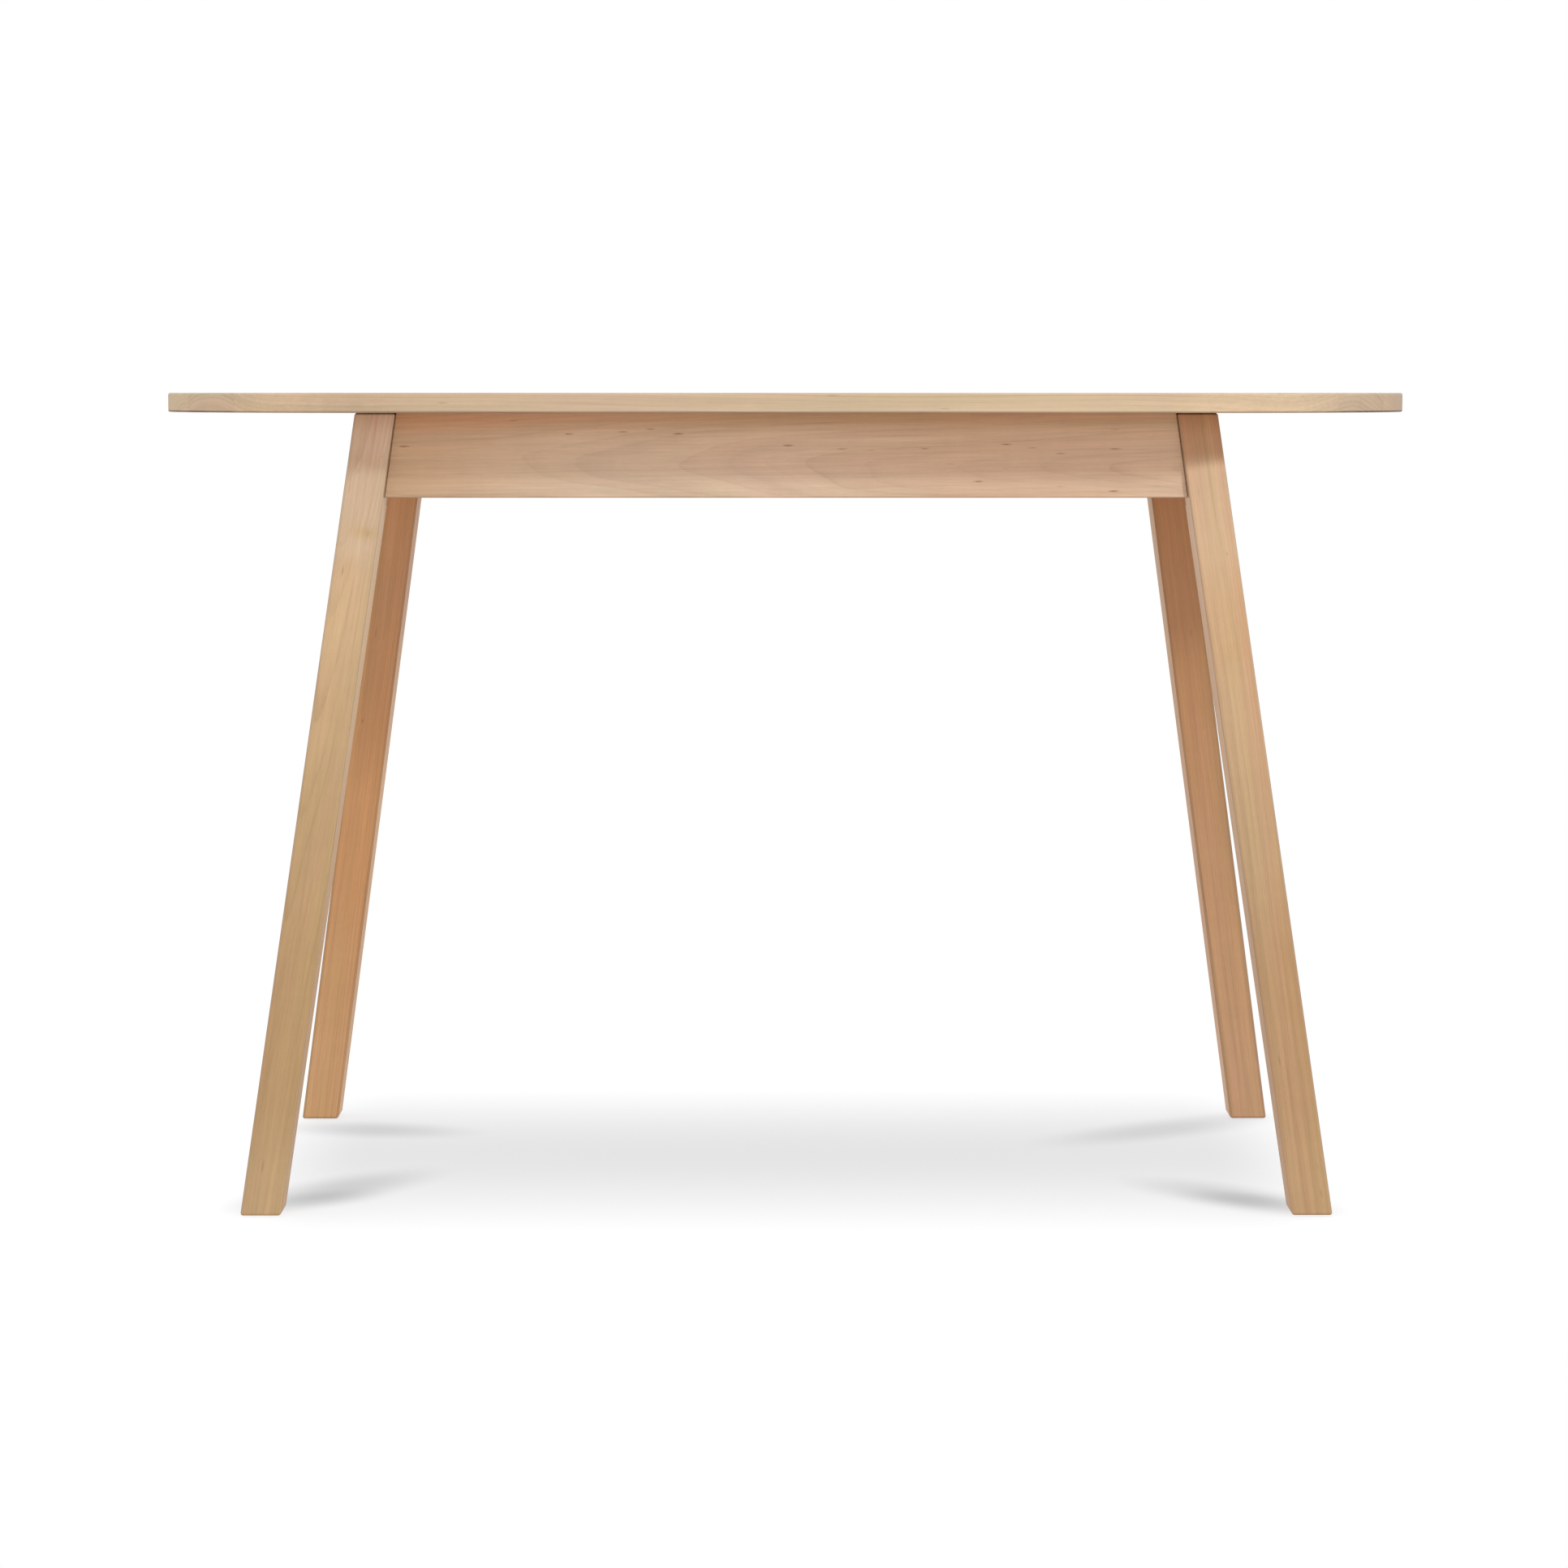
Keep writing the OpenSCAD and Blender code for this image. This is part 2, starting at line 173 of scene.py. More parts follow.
def end_screw(z, side_x=1, side_y=1):
    """The frame of a screw through a block into an end rail."""
    place = (side_x * (RAIL_XI - SCREW_SET), side_y * SCREW_END_Y, z)
    return move(place) @ Matrix.Rotation(side_x * math.pi / 2, 4, "Y")


CLIP_FRAMES = [move((x, y, 0)) @ turn(angle, "Z") for x, y, angle in CLIP_SPOTS]


# ---------------------------------------------------------------- mesh helpers
def new_object(name, data):
    obj = bpy.data.objects.new(name, data)
    bpy.context.scene.collection.objects.link(obj)
    return obj


def from_bmesh(name, solid):
    bmesh.ops.recalc_face_normals(solid, faces=solid.faces)
    mesh = bpy.data.meshes.new(name)
    solid.to_mesh(mesh)
    solid.free()
    return new_object(name, mesh)


def placed(solid, matrix):
    solid.transform(matrix)
    if matrix.to_3x3().determinant() < 0:
        bmesh.ops.reverse_faces(solid, faces=solid.faces)
    return solid


def polyhedron(points, faces):
    solid = bmesh.new()
    verts = [solid.verts.new(point) for point in points]
    for face in faces:
        solid.faces.new([verts[i] for i in face])
    return solid


def prism(points, offset_from, offset_to):
    """A polygon of 3-D points swept from one offset to another."""
    solid = bmesh.new()
    start = [solid.verts.new(Vector(point) + Vector(offset_from)) for point in points]
    stop = [solid.verts.new(Vector(point) + Vector(offset_to)) for point in points]
    solid.faces.new(start[::-1])
    solid.faces.new(stop)
    count = len(points)
    for i in range(count):
        j = (i + 1) % count
        solid.faces.new((start[i], start[j], stop[j], stop[i]))
    return solid


def circle(solid, radius, z, segments):
    """A ring of points; the radius may be a function of the angle."""
    ring = []
    for i in range(segments):
        angle = 2 * math.pi * i / segments
        size = radius(angle) if callable(radius) else radius
        ring.append(solid.verts.new((size * math.cos(angle), size * math.sin(angle), z)))
    return ring


def cylinder(radius, height, segments, frame):
    """A cylinder along the frame's +Z from its origin."""
    solid = bmesh.new()
    low = circle(solid, radius, 0, segments)
    high = circle(solid, radius, height, segments)
    solid.faces.new(low[::-1])
    solid.faces.new(high)
    for i in range(segments):
        j = (i + 1) % segments
        solid.faces.new((low[i], low[j], high[j], high[i]))
    return placed(solid, frame)


def lathe(profile, segments):
    """Turns (radius, height) points round +Z; a radius of 0 closes the end."""
    solid = bmesh.new()
    rings = []
    for radius, z in profile:
        if radius < 1e-9:
            rings.append([solid.verts.new((0, 0, z))])
        else:
            rings.append(circle(solid, radius, z, segments))
    for low, high in zip(rings, rings[1:]):
        for i in range(segments):
            j = (i + 1) % segments
            if len(low) == 1:
                solid.faces.new((low[0], high[i], high[j]))
            elif len(high) == 1:
                solid.faces.new((low[i], low[j], high[0]))
            else:
                solid.faces.new((low[i], low[j], high[j], high[i]))
    return solid


def turned(rows, segments=24):
    """A solid of rings up +Z from (height, radius) rows, closed by a flat fan at each end."""
    solid = bmesh.new()
    rings = [circle(solid, radius, z, segments) for z, radius in rows]
    for low, high in zip(rings, rings[1:]):
        for i in range(segments):
            j = (i + 1) % segments
            solid.faces.new((low[i], low[j], high[j], high[i]))
    for ring, z in ((rings[0], rows[0][0]), (rings[-1], rows[-1][0])):
        middle = solid.verts.new((0, 0, z))
        for i in range(segments):
            solid.faces.new((ring[i], ring[(i + 1) % segments], middle))
    return solid


def ring_of(loop, segments):
    """A loop of (radius, height) points swept round +Z; it may be a function of the angle."""
    solid = bmesh.new()
    rings = []
    for i in range(segments):
        angle = 2 * math.pi * i / segments
        points = loop(angle) if callable(loop) else loop
        rings.append([solid.verts.new((radius * math.cos(angle), radius * math.sin(angle), z))
                      for radius, z in points])
    join_loops(solid, zip(rings, rings[1:] + rings[:1]))
    return solid


def join_loops(solid, pairs):
    """Faces between pairs of closed loops."""
    for near, far in pairs:
        count = len(near)
        for i in range(count):
            j = (i + 1) % count
            solid.faces.new((near[i], far[i], far[j], near[j]))


def round_edges(solid, edges, offset, segments):
    """Rounds edges and marks the new faces as arrises."""
    out = bmesh.ops.bevel(solid, geom=edges, offset=offset, segments=segments, profile=0.5,
                          affect="EDGES", clamp_overlap=True, offset_type="OFFSET")
    for face in out["faces"]:
        face.material_index = 1


def cut_away(obj, cutters):
    """Cuts closed bmeshes from obj and leaves a plain mesh."""
    # stand-in materials carry the face kinds through the cut
    while len(obj.data.materials) < 3:
        name = "face_%d" % len(obj.data.materials)
        stand_in = bpy.data.materials.get(name) or bpy.data.materials.new(name)
        obj.data.materials.append(stand_in)
    tools = []
    for cutter in cutters:
        tool = from_bmesh("cutter", cutter)
        tools.append(tool)
        modifier = obj.modifiers.new("cut", "BOOLEAN")
        modifier.operation = "DIFFERENCE"
        modifier.solver = "EXACT"
        modifier.object = tool
    bpy.context.view_layer.update()
    depsgraph = bpy.context.evaluated_depsgraph_get()
    mesh = bpy.data.meshes.new_from_object(obj.evaluated_get(depsgraph))
    solid = bmesh.new()
    solid.from_mesh(mesh)
    # cuts leave twin points that make triangles of no area
    bmesh.ops.remove_doubles(solid, verts=solid.verts, dist=2e-7)
    solid.to_mesh(mesh)
    solid.free()
    obj.modifiers.clear()
    old = obj.data
    obj.data = mesh
    bpy.data.meshes.remove(old)
    for tool in tools:
        remove_with_mesh(tool)
    return obj


def remove_with_mesh(obj):
    mesh = obj.data
    bpy.data.objects.remove(obj)
    bpy.data.meshes.remove(mesh)


def cut_bmesh(solid, cutters):
    """The solid with the cutters taken away, as a bmesh."""
    obj = cut_away(from_bmesh("work", solid), cutters)
    out = bmesh.new()
    out.from_mesh(obj.data)
    remove_with_mesh(obj)
    return out


def finish_mesh(obj, angle=32, weighted=True):
    mesh = obj.data
    mesh.polygons.foreach_set("use_smooth", [True] * len(mesh.polygons))
    mesh.set_sharp_from_angle(angle=math.radians(angle))
    if weighted:
        modifier = obj.modifiers.new("weighted", "WEIGHTED_NORMAL")
        modifier.keep_sharp = True
        modifier.mode = "FACE_AREA"
        modifier.weight = 60
    return obj


def copies(name, solid, frames, angle=32):
    """The same solid in every frame, as one object. Threads keep their hand."""
    mesh = bpy.data.meshes.new("part")
    bmesh.ops.recalc_face_normals(solid, faces=solid.faces)
    solid.to_mesh(mesh)
    solid.free()
    out = bmesh.new()
    for frame in frames:
        if frame.to_3x3().determinant() < 0:
            frame = frame @ Matrix.Diagonal((-1, 1, 1, 1))
        start = len(out.verts)
        out.from_mesh(mesh)
        out.verts.ensure_lookup_table()
        bmesh.ops.transform(out, matrix=frame, verts=out.verts[start:])
    bpy.data.meshes.remove(mesh)
    return finish_mesh(from_bmesh(name, out), angle=angle, weighted=False)


def piece(obj, materials, node):
    """Gives obj its materials and puts it in the place of a loaded piece."""
    mesh = obj.data
    kinds = [0] * len(mesh.polygons)
    mesh.polygons.foreach_get("material_index", kinds)
    mesh.materials.clear()
    for material in materials:
        mesh.materials.append(material)
    last = len(materials) - 1
    mesh.polygons.foreach_set("material_index", [min(kind, last) for kind in kinds])
    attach(obj, "root")
    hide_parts(node)


# ---------------------------------------------------------------- node helpers
class Signal:
    """A shader socket that works in arithmetic: each operator adds one math node."""

    def __init__(self, graph, socket):
        self.graph, self.socket = graph, socket

    def __add__(self, other): return self.graph.math("ADD", self, other)
    def __radd__(self, other): return self.graph.math("ADD", other, self)
    def __sub__(self, other): return self.graph.math("SUBTRACT", self, other)
    def __rsub__(self, other): return self.graph.math("SUBTRACT", other, self)
    def __mul__(self, other): return self.graph.math("MULTIPLY", self, other)
    def __truediv__(self, other): return self.graph.math("DIVIDE", self, other)


class Graph:
    """Builds a node tree. Inputs are signals, plain values, or None for the default."""

    def __init__(self, tree):
        self.tree = tree
        tree.nodes.clear()

    def node(self, kind, inputs, **props):
        node = self.tree.nodes.new(kind)
        for name, value in props.items():
            setattr(node, name, value)
        for key, value in inputs.items():
            if isinstance(value, Signal):
                self.tree.links.new(value.socket, node.inputs[key])
            elif value is not None:
                node.inputs[key].default_value = value
        return node

    def get(self, kind, output=0, inputs={}, **props):
        """Adds a node and gives one of its outputs."""
        return Signal(self, self.node(kind, inputs, **props).outputs[output])

    def split(self, source, kind="Color"):
        parts = self.node("ShaderNodeSeparate" + kind, {0: source}).outputs
        return [Signal(self, socket) for socket in parts]

    def math(self, op, first, second=None):
        return self.get("ShaderNodeMath", 0, {0: first, 1: second}, operation=op)

    def vmath(self, op, first, second=None):
        output = "Value" if op in ("DOT_PRODUCT", "LENGTH") else "Vector"
        return self.get("ShaderNodeVectorMath", output, {0: first, 1: second}, operation=op)

    def xyz(self, x, y, z):
        return self.get("ShaderNodeCombineXYZ", 0, {0: x, 1: y, 2: z})

    def noise(self, vector, stretch=None, detail=2.0, rough=0.5, distortion=0.0, output="Fac"):
        """Noise on a vector, which stretch multiplies first."""
        if stretch:
            vector = self.vmath("MULTIPLY", vector, stretch)
        return self.get("ShaderNodeTexNoise", output, {
            "Vector": vector, "Scale": 1.0, "Detail": detail, "Roughness": rough,
            "Distortion": distortion})

    def random(self, seed, output="Value"):
        return self.get("ShaderNodeTexWhiteNoise", output, {"W": seed}, noise_dimensions="1D")

    def smooth(self, value, start, stop, out_start=0.0, out_stop=1.0):
        """A smooth step from out_start at start to out_stop at stop."""
        return self.get("ShaderNodeMapRange", "Result", {
            "Value": value, "From Min": start, "From Max": stop,
            "To Min": out_start, "To Max": out_stop}, interpolation_type="SMOOTHSTEP")

    def mix(self, factor, first, second, blend="MIX"):
        first, second = ((*colour, 1.0) if isinstance(colour, tuple) else colour
                         for colour in (first, second))
        return self.get("ShaderNodeMix", 2, {0: factor, 6: first, 7: second},
                        data_type="RGBA", blend_type=blend)

    def tint(self, colour, by):
        return self.mix(1.0, colour, by, blend="MULTIPLY")

    def scale_colour(self, colour, factor):
        return self.get("ShaderNodeVectorMath", "Vector", {0: colour, "Scale": factor},
                        operation="SCALE")

    def surface(self, inputs, height, strength, distance):
        """Ends a material: a principled shader with a bump of the given height signal."""
        normal = self.get("ShaderNodeBump", "Normal", {
            "Strength": strength, "Distance": distance, "Height": height})
        shader = self.get("ShaderNodeBsdfPrincipled", 0, {**inputs, "Normal": normal})
        self.node("ShaderNodeOutputMaterial", {0: shader})


def new_material(name):
    material = bpy.data.materials.new(name)
    material.use_nodes = True
    return material, Graph(material.node_tree)


# ---------------------------------------------------------------- wood
WHITE = (1.0, 1.0, 1.0)


def scaled(colour, *factors):
    return tuple(part * factor for part, factor in zip(colour, factors))


def glued_staves(graph, u, v, w, staves, pith_w, seed):
    """Boards glued side by side, each with its own heart, slope and tint."""
    width, phase = staves
    place = (v + phase) / width
    # the waver of the seams is set to none
    waver = graph.noise(graph.xyz(graph.math("FLOOR", place) * 7.3, 0.0, seed), detail=0) - 0.5
    place = place + waver * 0.0
    index = graph.math("FLOOR", place)
    frac = graph.math("FRACT", place)
    red, green, blue, *_ = graph.split(graph.random(index + (11.0 + seed), output="Color"))
    edge = graph.math("MINIMUM", frac, 1.0 - frac)
    seam = graph.smooth(edge * width, 0.0, 0.00035, 1.0, 0.0)
    tint = red - 0.5
    flip = graph.math("GREATER_THAN", blue, 0.5) * 2.0 - 1.0
    # place across the board, measured from its own heart line
    v = (frac - 0.5) * width + (green - 0.5) * 0.09
    w = w * flip
    u = u * flip + blue * 9.0
    return u, v, w, red * -0.05 + pith_w, seam, tint


def wood(name, origin, grain, across, light, dark, pith, tilt, ring, seed, rough,
         ring_depth=0.10, band=0.5, fibre=0.05, figured=0.30, fleck=0.35, fleck_share=0.035,
         wave=0.004, staves=None, stave_spread=0.10, knots=(), patches=(), tone=(),
         side_painted_light_and_shade=(), edge_painted_shade=None, arris=0.0, rim=0.0, lacquer=True):
    """Solid wood: growth rings round a pith line that runs near the grain, fibres along
    the grain, small dark flecks, and end grain where the surface cuts across.

    grain and across are directions; u, v, w are the places along the grain, across it
    and in depth. light and dark are the two tints that bands mix. pith is the (v, w) of
    the heart line, tilt its slope, ring the ring spacing and wave how far rings wander.
    ring_depth, band, fibre, figured and fleck set how strongly each figure shows.
    tone and side_painted_light_and_shade are (u, tint) stops of painted light and shade along
    the grain, and edge_painted_shade is (v start, v stop, tint), a band of painted shade across
    it. staves is (board width, shift), knots are (u, v, w, size, strength) and patches are (u,
    v, u size, v size, tint). arris shifts the brightness of the arrises: painted shade, or a
    slight lightening;
    rim is painted shade on rounded edges where they turn away from the eye.
    """
    material, graph = new_material(name)
    u_axis = Vector(grain).normalized()
    v_axis = (Vector(across) - u_axis * Vector(across).dot(u_axis)).normalized()
    coords = graph.get("ShaderNodeTexCoord", "Object")
    local = graph.vmath("SUBTRACT", coords, tuple(origin))
    u, v, w = (graph.vmath("DOT_PRODUCT", local, tuple(axis))
               for axis in (u_axis, v_axis, u_axis.cross(v_axis)))
    along, beside = u, v
    seam = tint = None
    pith_v, pith_w = pith
    if staves:
        pith_v = 0.0
        u, v, w, pith_w, seam, tint = glued_staves(graph, u, v, w, staves, pith_w, seed)

    # distance from the pith line, with a broad and a fine warp
    shift = graph.vmath("ADD", graph.xyz(u, v, w), (seed * 3.1, seed * 1.7, seed * 2.3))
    warp_v, warp_w, *_ = graph.split(
        graph.noise(shift, (1.6, 9.0, 9.0), rough=0.45, output="Color"))
    fine_warp = graph.noise(shift, (14.0, 60.0, 60.0)) - 0.5
    off_v = (v - pith_v) + (u * tilt[0] + (warp_v - 0.5) * (wave * 5))
    off_w = (w - pith_w) + (u * tilt[1] + (warp_w - 0.5) * (wave * 5))
    radius = graph.math("SQRT", off_v * off_v + off_w * off_w)
    radius = radius + fine_warp * 0.0009
    core = None
    for (*centre, size, strength) in knots:
        # rings bulge round a knot, and its core is dark
        offset = graph.vmath("SUBTRACT", graph.xyz(u, v, w), tuple(centre))
        away = graph.vmath("LENGTH", graph.vmath("MULTIPLY", offset, (0.55, 1.0, 0.6)))
        near = graph.math("EXPONENT", away * away * (-1.0 / (size * size * 4.0)))
        radius = radius + near * (size * 1.4 * strength)
        spot = graph.math("EXPONENT", away * away * (-1.0 / (size * size * 0.16))) * strength
        core = graph.math("MAXIMUM", core, spot) if core else spot

    # rings: dark late wood at the end of each
    rings = radius / ring
    index = graph.math("FLOOR", rings)
    frac = graph.math("FRACT", rings)
    per_ring = graph.random(index + seed * 5.0)
    late = graph.math("POWER", frac, 5.0) * graph.smooth(frac, 1.0, 0.94)
    late = late * (0.35 + per_ring * 0.9)

    def ring_noise(u_scale, u_shift, ring_scale, w_scale, rough):
        """Noise that follows the rings and drifts along the board."""
        place = graph.xyz(u * u_scale + u_shift, radius * ring_scale, w * w_scale)
        return graph.noise(place, detail=3.0, rough=rough)

    drift = ring_noise(0.9, seed, 42.0, 3.0, rough=0.55)
    bands = graph.smooth(drift, 0.36, 0.66)
    figure = ring_noise(2.6, seed * 1.3, 190.0, 9.0, rough=0.6)
    # fibres and pores, long and very thin
    streak = graph.noise(shift, (5.0, 330.0, 330.0), detail=3.0, rough=0.6)
    hair = graph.noise(shift, (26.0, 1500.0, 1500.0), rough=0.55)
    mottle = graph.noise(shift, (55.0, 22.0, 22.0), distortion=0.3)
    ray = graph.noise(shift, (160.0, 420.0, 420.0), detail=1.0)

    # small dark flecks: short dashes along the grain
    cell = graph.node("ShaderNodeTexVoronoi", {
        "Vector": graph.vmath("MULTIPLY", shift, (40.0, 250.0, 250.0)), "Scale": 1.0})
    cell_colour, cell_distance = (Signal(graph, cell.outputs[key])
                                  for key in ("Color", "Distance"))
    chosen = graph.math("LESS_THAN", graph.split(cell_colour)[0], fleck_share)
    dash = graph.smooth(cell_distance, 0.30, 0.05) * chosen
    dash = dash * graph.smooth(ray, 0.30, 0.60, 0.55, 1.0)

    # end grain, where the surface faces along the grain
    normal = graph.get("ShaderNodeNewGeometry", "True Normal")
    facing = graph.math("ABSOLUTE", graph.vmath("DOT_PRODUCT", normal, tuple(u_axis)))
    end = graph.smooth(facing, 0.55, 0.97)

    # colour
    colour = graph.mix(bands * band + per_ring * 0.22, light, dark)
    hue = graph.smooth(ring_noise(1.7, seed * 2.0, 60.0, 5.0, rough=0.6), 0.34, 0.66)
    colour = graph.tint(colour, graph.mix(hue, (1.025, 0.970, 0.960), (0.990, 1.000, 0.925)))
    shade = (1.0 - late * (ring_depth * 1.5)
             + (per_ring - 0.5) * (ring_depth * 0.30)
             + (streak - 0.5) * (fibre * 2.6)
             + (hair - 0.5) * (fibre * 1.7)
             + (mottle - 0.5) * 0.07
             + (ray - 0.5) * 0.07
             + (drift - 0.5) * 0.22
             + (figure - 0.5) * figured
             - end * 0.17)
    if tint:
        shade = shade + tint * stave_spread
    # arris: painted shade on the eased edges, or a slight lightening
    if arris:
        shade = shade + arris
    if rim:
        # painted shade: the rounded edge goes dark where it turns away from the eye
        away = graph.get("ShaderNodeLayerWeight", "Facing", {"Blend": 0.5})
        shade = shade - graph.smooth(away, 0.35, 0.85) * rim
    colour = graph.scale_colour(colour, shade)
    # painted light and shade, stepped along the grain
    for stops in (tone, side_painted_light_and_shade):
        if not stops:
            continue
        drifted = stops[0][1]
        for (start, _), (stop, stop_tint) in zip(stops, stops[1:]):
            step = graph.smooth(along + (warp_v - 0.5) * 0.02, start, stop)
            drifted = graph.mix(step, drifted, stop_tint)
        colour = graph.tint(colour, drifted)
    for (patch_u, patch_v, size_u, size_v, patch_tint) in patches:
        # a cloudy patch where the grain swirls round a knot deeper in the wood
        patch_u = (along - patch_u + (warp_w - 0.5) * (size_u * 1.5)) * (1.0 / size_u)
        patch_v = (beside - patch_v + (fine_warp - 0.0) * (size_v * 0.9)) * (1.0 / size_v)
        inside = graph.math("EXPONENT", (patch_u * patch_u + patch_v * patch_v) * -1.0)
        colour = graph.tint(colour, graph.mix(inside, WHITE, patch_tint))
    # a band of painted shade across the board, such as under the top
    if edge_painted_shade:
        start, stop, edge_shade_tint = edge_painted_shade
        colour = graph.tint(colour, graph.mix(graph.smooth(v, start, stop), WHITE, edge_shade_tint))
    colour = graph.mix(dash * fleck, colour, scaled(dark, 0.40, 0.27, 0.19))
    if core:
        colour = graph.mix(core, colour, scaled(dark, 0.50, 0.36, 0.26))
    if seam:
        colour = graph.mix(seam * 0.32, colour, scaled(dark, 0.55, 0.55, 0.55))
    # end grain drinks in more colour
    colour = graph.mix(end * 0.25, colour, graph.tint(colour, (0.92, 0.80, 0.66)))

    roughness = (rough + (streak - 0.5) * 0.16 + late * 0.05 + end * 0.10
                 - (mottle - 0.5) * 0.08)
    height = streak * 0.55 + hair * 0.45 - late * 0.35 - dash * 0.5
    if seam:
        height = height - seam * 0.8
    inputs = {"Base Color": colour, "Roughness": roughness, "IOR": 1.48,
              "Specular IOR Level": 0.5}
    if lacquer:
        inputs.update({"Coat Weight": 0.18, "Coat Roughness": 0.22, "Coat IOR": 1.5})
    graph.surface(inputs, height, strength=0.22 if lacquer else 0.5, distance=0.00012)
    return material


def wood_set(name, arris, rim=0.0, under=None, **look):
    """The face of a piece, and a copy for its eased arrises, whose brightness arris shifts:
    painted shade, or a slight lightening. under is the (arris, rim) of a third material with
    deeper painted shade, for the lower arris, or on a leg the arrises that face up under the
    top."""
    materials = [wood(name, **look)]
    look["rough"] -= 0.05
    materials.append(wood(name + "_arris", arris=arris, rim=rim, **look))
    if under:
        # painted shade: the third material darkens these arrises further
        materials.append(wood(name + "_arris_painted_shade", arris=under[0], rim=under[1], **look))
    return materials


# ---------------------------------------------------------------- the top
def outline():
    """Points (x, y, normal x, normal y) of the +Y half of the outline, from +X to -X:
    a broad end arc, a tighter corner arc and a straight side."""
    end_x = HALF_L - END_R
    corner_y = HALF_W - CORNER_R
    corner_x = end_x + math.sqrt((END_R - CORNER_R) ** 2 - corner_y ** 2)
    meet = math.atan2(corner_y, corner_x - end_x)
    points = []
    for i in range(31):
        angle = meet * i / 30
        cos, sin = math.cos(angle), math.sin(angle)
        points.append((end_x + END_R * cos, END_R * sin, cos, sin))
    for i in range(1, 19):
        angle = meet + (math.pi / 2 - meet) * i / 18
        cos, sin = math.cos(angle), math.sin(angle)
        points.append((corner_x + CORNER_R * cos, corner_y + CORNER_R * sin, cos, sin))
    for i in range(1, 13):
        points.append((corner_x * (1 - i / 12), HALF_W, 0.0, 1.0))
    points += [(-x, y, -nx, ny) for x, y, nx, ny in reversed(points[:-1])]
    return points


def edge_levels(steps, bands):
    """(inset, height) down the edge: upper arris, upright bands, lower arris."""
    levels = []
    for i in range(steps + 1):
        angle = math.pi / 2 * i / steps
        levels.append((TOP_ARRIS - TOP_ARRIS * math.sin(angle),
                       SURFACE - TOP_ARRIS + TOP_ARRIS * math.cos(angle)))
    upright = SURFACE - UNDER - TOP_ARRIS - UNDER_ARRIS
    for i in range(1, bands + 1):
        levels.append((0.0, SURFACE - TOP_ARRIS - upright * i / bands))
    for i in range(1, steps + 1):
        angle = math.pi / 2 * i / steps
        levels.append((UNDER_ARRIS - UNDER_ARRIS * math.cos(angle),
                       UNDER + UNDER_ARRIS - UNDER_ARRIS * math.sin(angle)))
    return levels


def fill_flat(solid, ring, half_count, strips=16):
    """Closes a ring of the outline with strips of faces across it."""
    rows = []
    for i in range(half_count):
        back, front = ring[i], ring[-i]
        if back is front:
            rows.append([back])
            continue
        row = [solid.verts.new(back.co.lerp(front.co, j / strips)) for j in range(1, strips)]
        rows.append([back, *row, front])
    for near, far in zip(rows, rows[1:]):
        for j in range(strips):
            if len(near) == 1:
                solid.faces.new((near[0], far[j], far[j + 1]))
            elif len(far) == 1:
                solid.faces.new((near[j], far[0], near[j + 1]))
            else:
                solid.faces.new((near[j], far[j], far[j + 1], near[j + 1]))


def build_top():
    """Face kinds: 0 flat faces, 1 upper arris, 2 lower arris, 3 upright edge."""
    half = outline()
    loop = half + [(x, -y, nx, -ny) for x, y, nx, ny in reversed(half[1:-1])]
    count, steps, bands = len(loop), 5, 3
    solid = bmesh.new()
    rings = [[solid.verts.new((x - inset * nx, y - inset * ny, z)) for x, y, nx, ny in loop]
             for inset, z in edge_levels(steps, bands)]
    for level, (high, low) in enumerate(zip(rings, rings[1:])):
        kind = 1 if level < steps else 3 if level < steps + bands else 2
        for i in range(count):
            j = (i + 1) % count
            face = solid.faces.new((high[i], low[i], low[j], high[j]))
            face.material_index = kind
    # the middle point of each end is its own mirror image across the X axis
    for ring in (rings[0], rings[-1]):
        fill_flat(solid, ring, len(half))
    pilot = move((CLIP_SCREW_X, 0, UNDER - 0.001))
    holes = [cylinder(PILOT_R, 0.0125, 20, frame @ pilot) for frame in CLIP_FRAMES]
    return finish_mesh(cut_away(from_bmesh("wood_top", solid), holes))


# ---------------------------------------------------------------- legs, rails, blocks
def leg_flat_cutter():
    """The wedge that leaves a flat on the leg's inner corner, for the bolts."""
    points = []
    for z in (RAIL_BOTTOM - 0.008, LEG_TOP + 0.002):
        for depth, side in ((-LEG_FLAT, -0.02), (LEG_FLAT, -0.02),
                            (LEG_FLAT, 0.02), (-LEG_FLAT, 0.02)):
            points.append((leg_x_in(z) + (depth + side) / ROOT2,
                           leg_y_in(z) + (depth - side) / ROOT2, z))
    return polyhedron(points, ((0, 1, 2, 3), (4, 7, 6, 5), (0, 4, 5, 1),
                               (1, 5, 6, 2), (2, 6, 7, 3), (3, 7, 4, 0)))


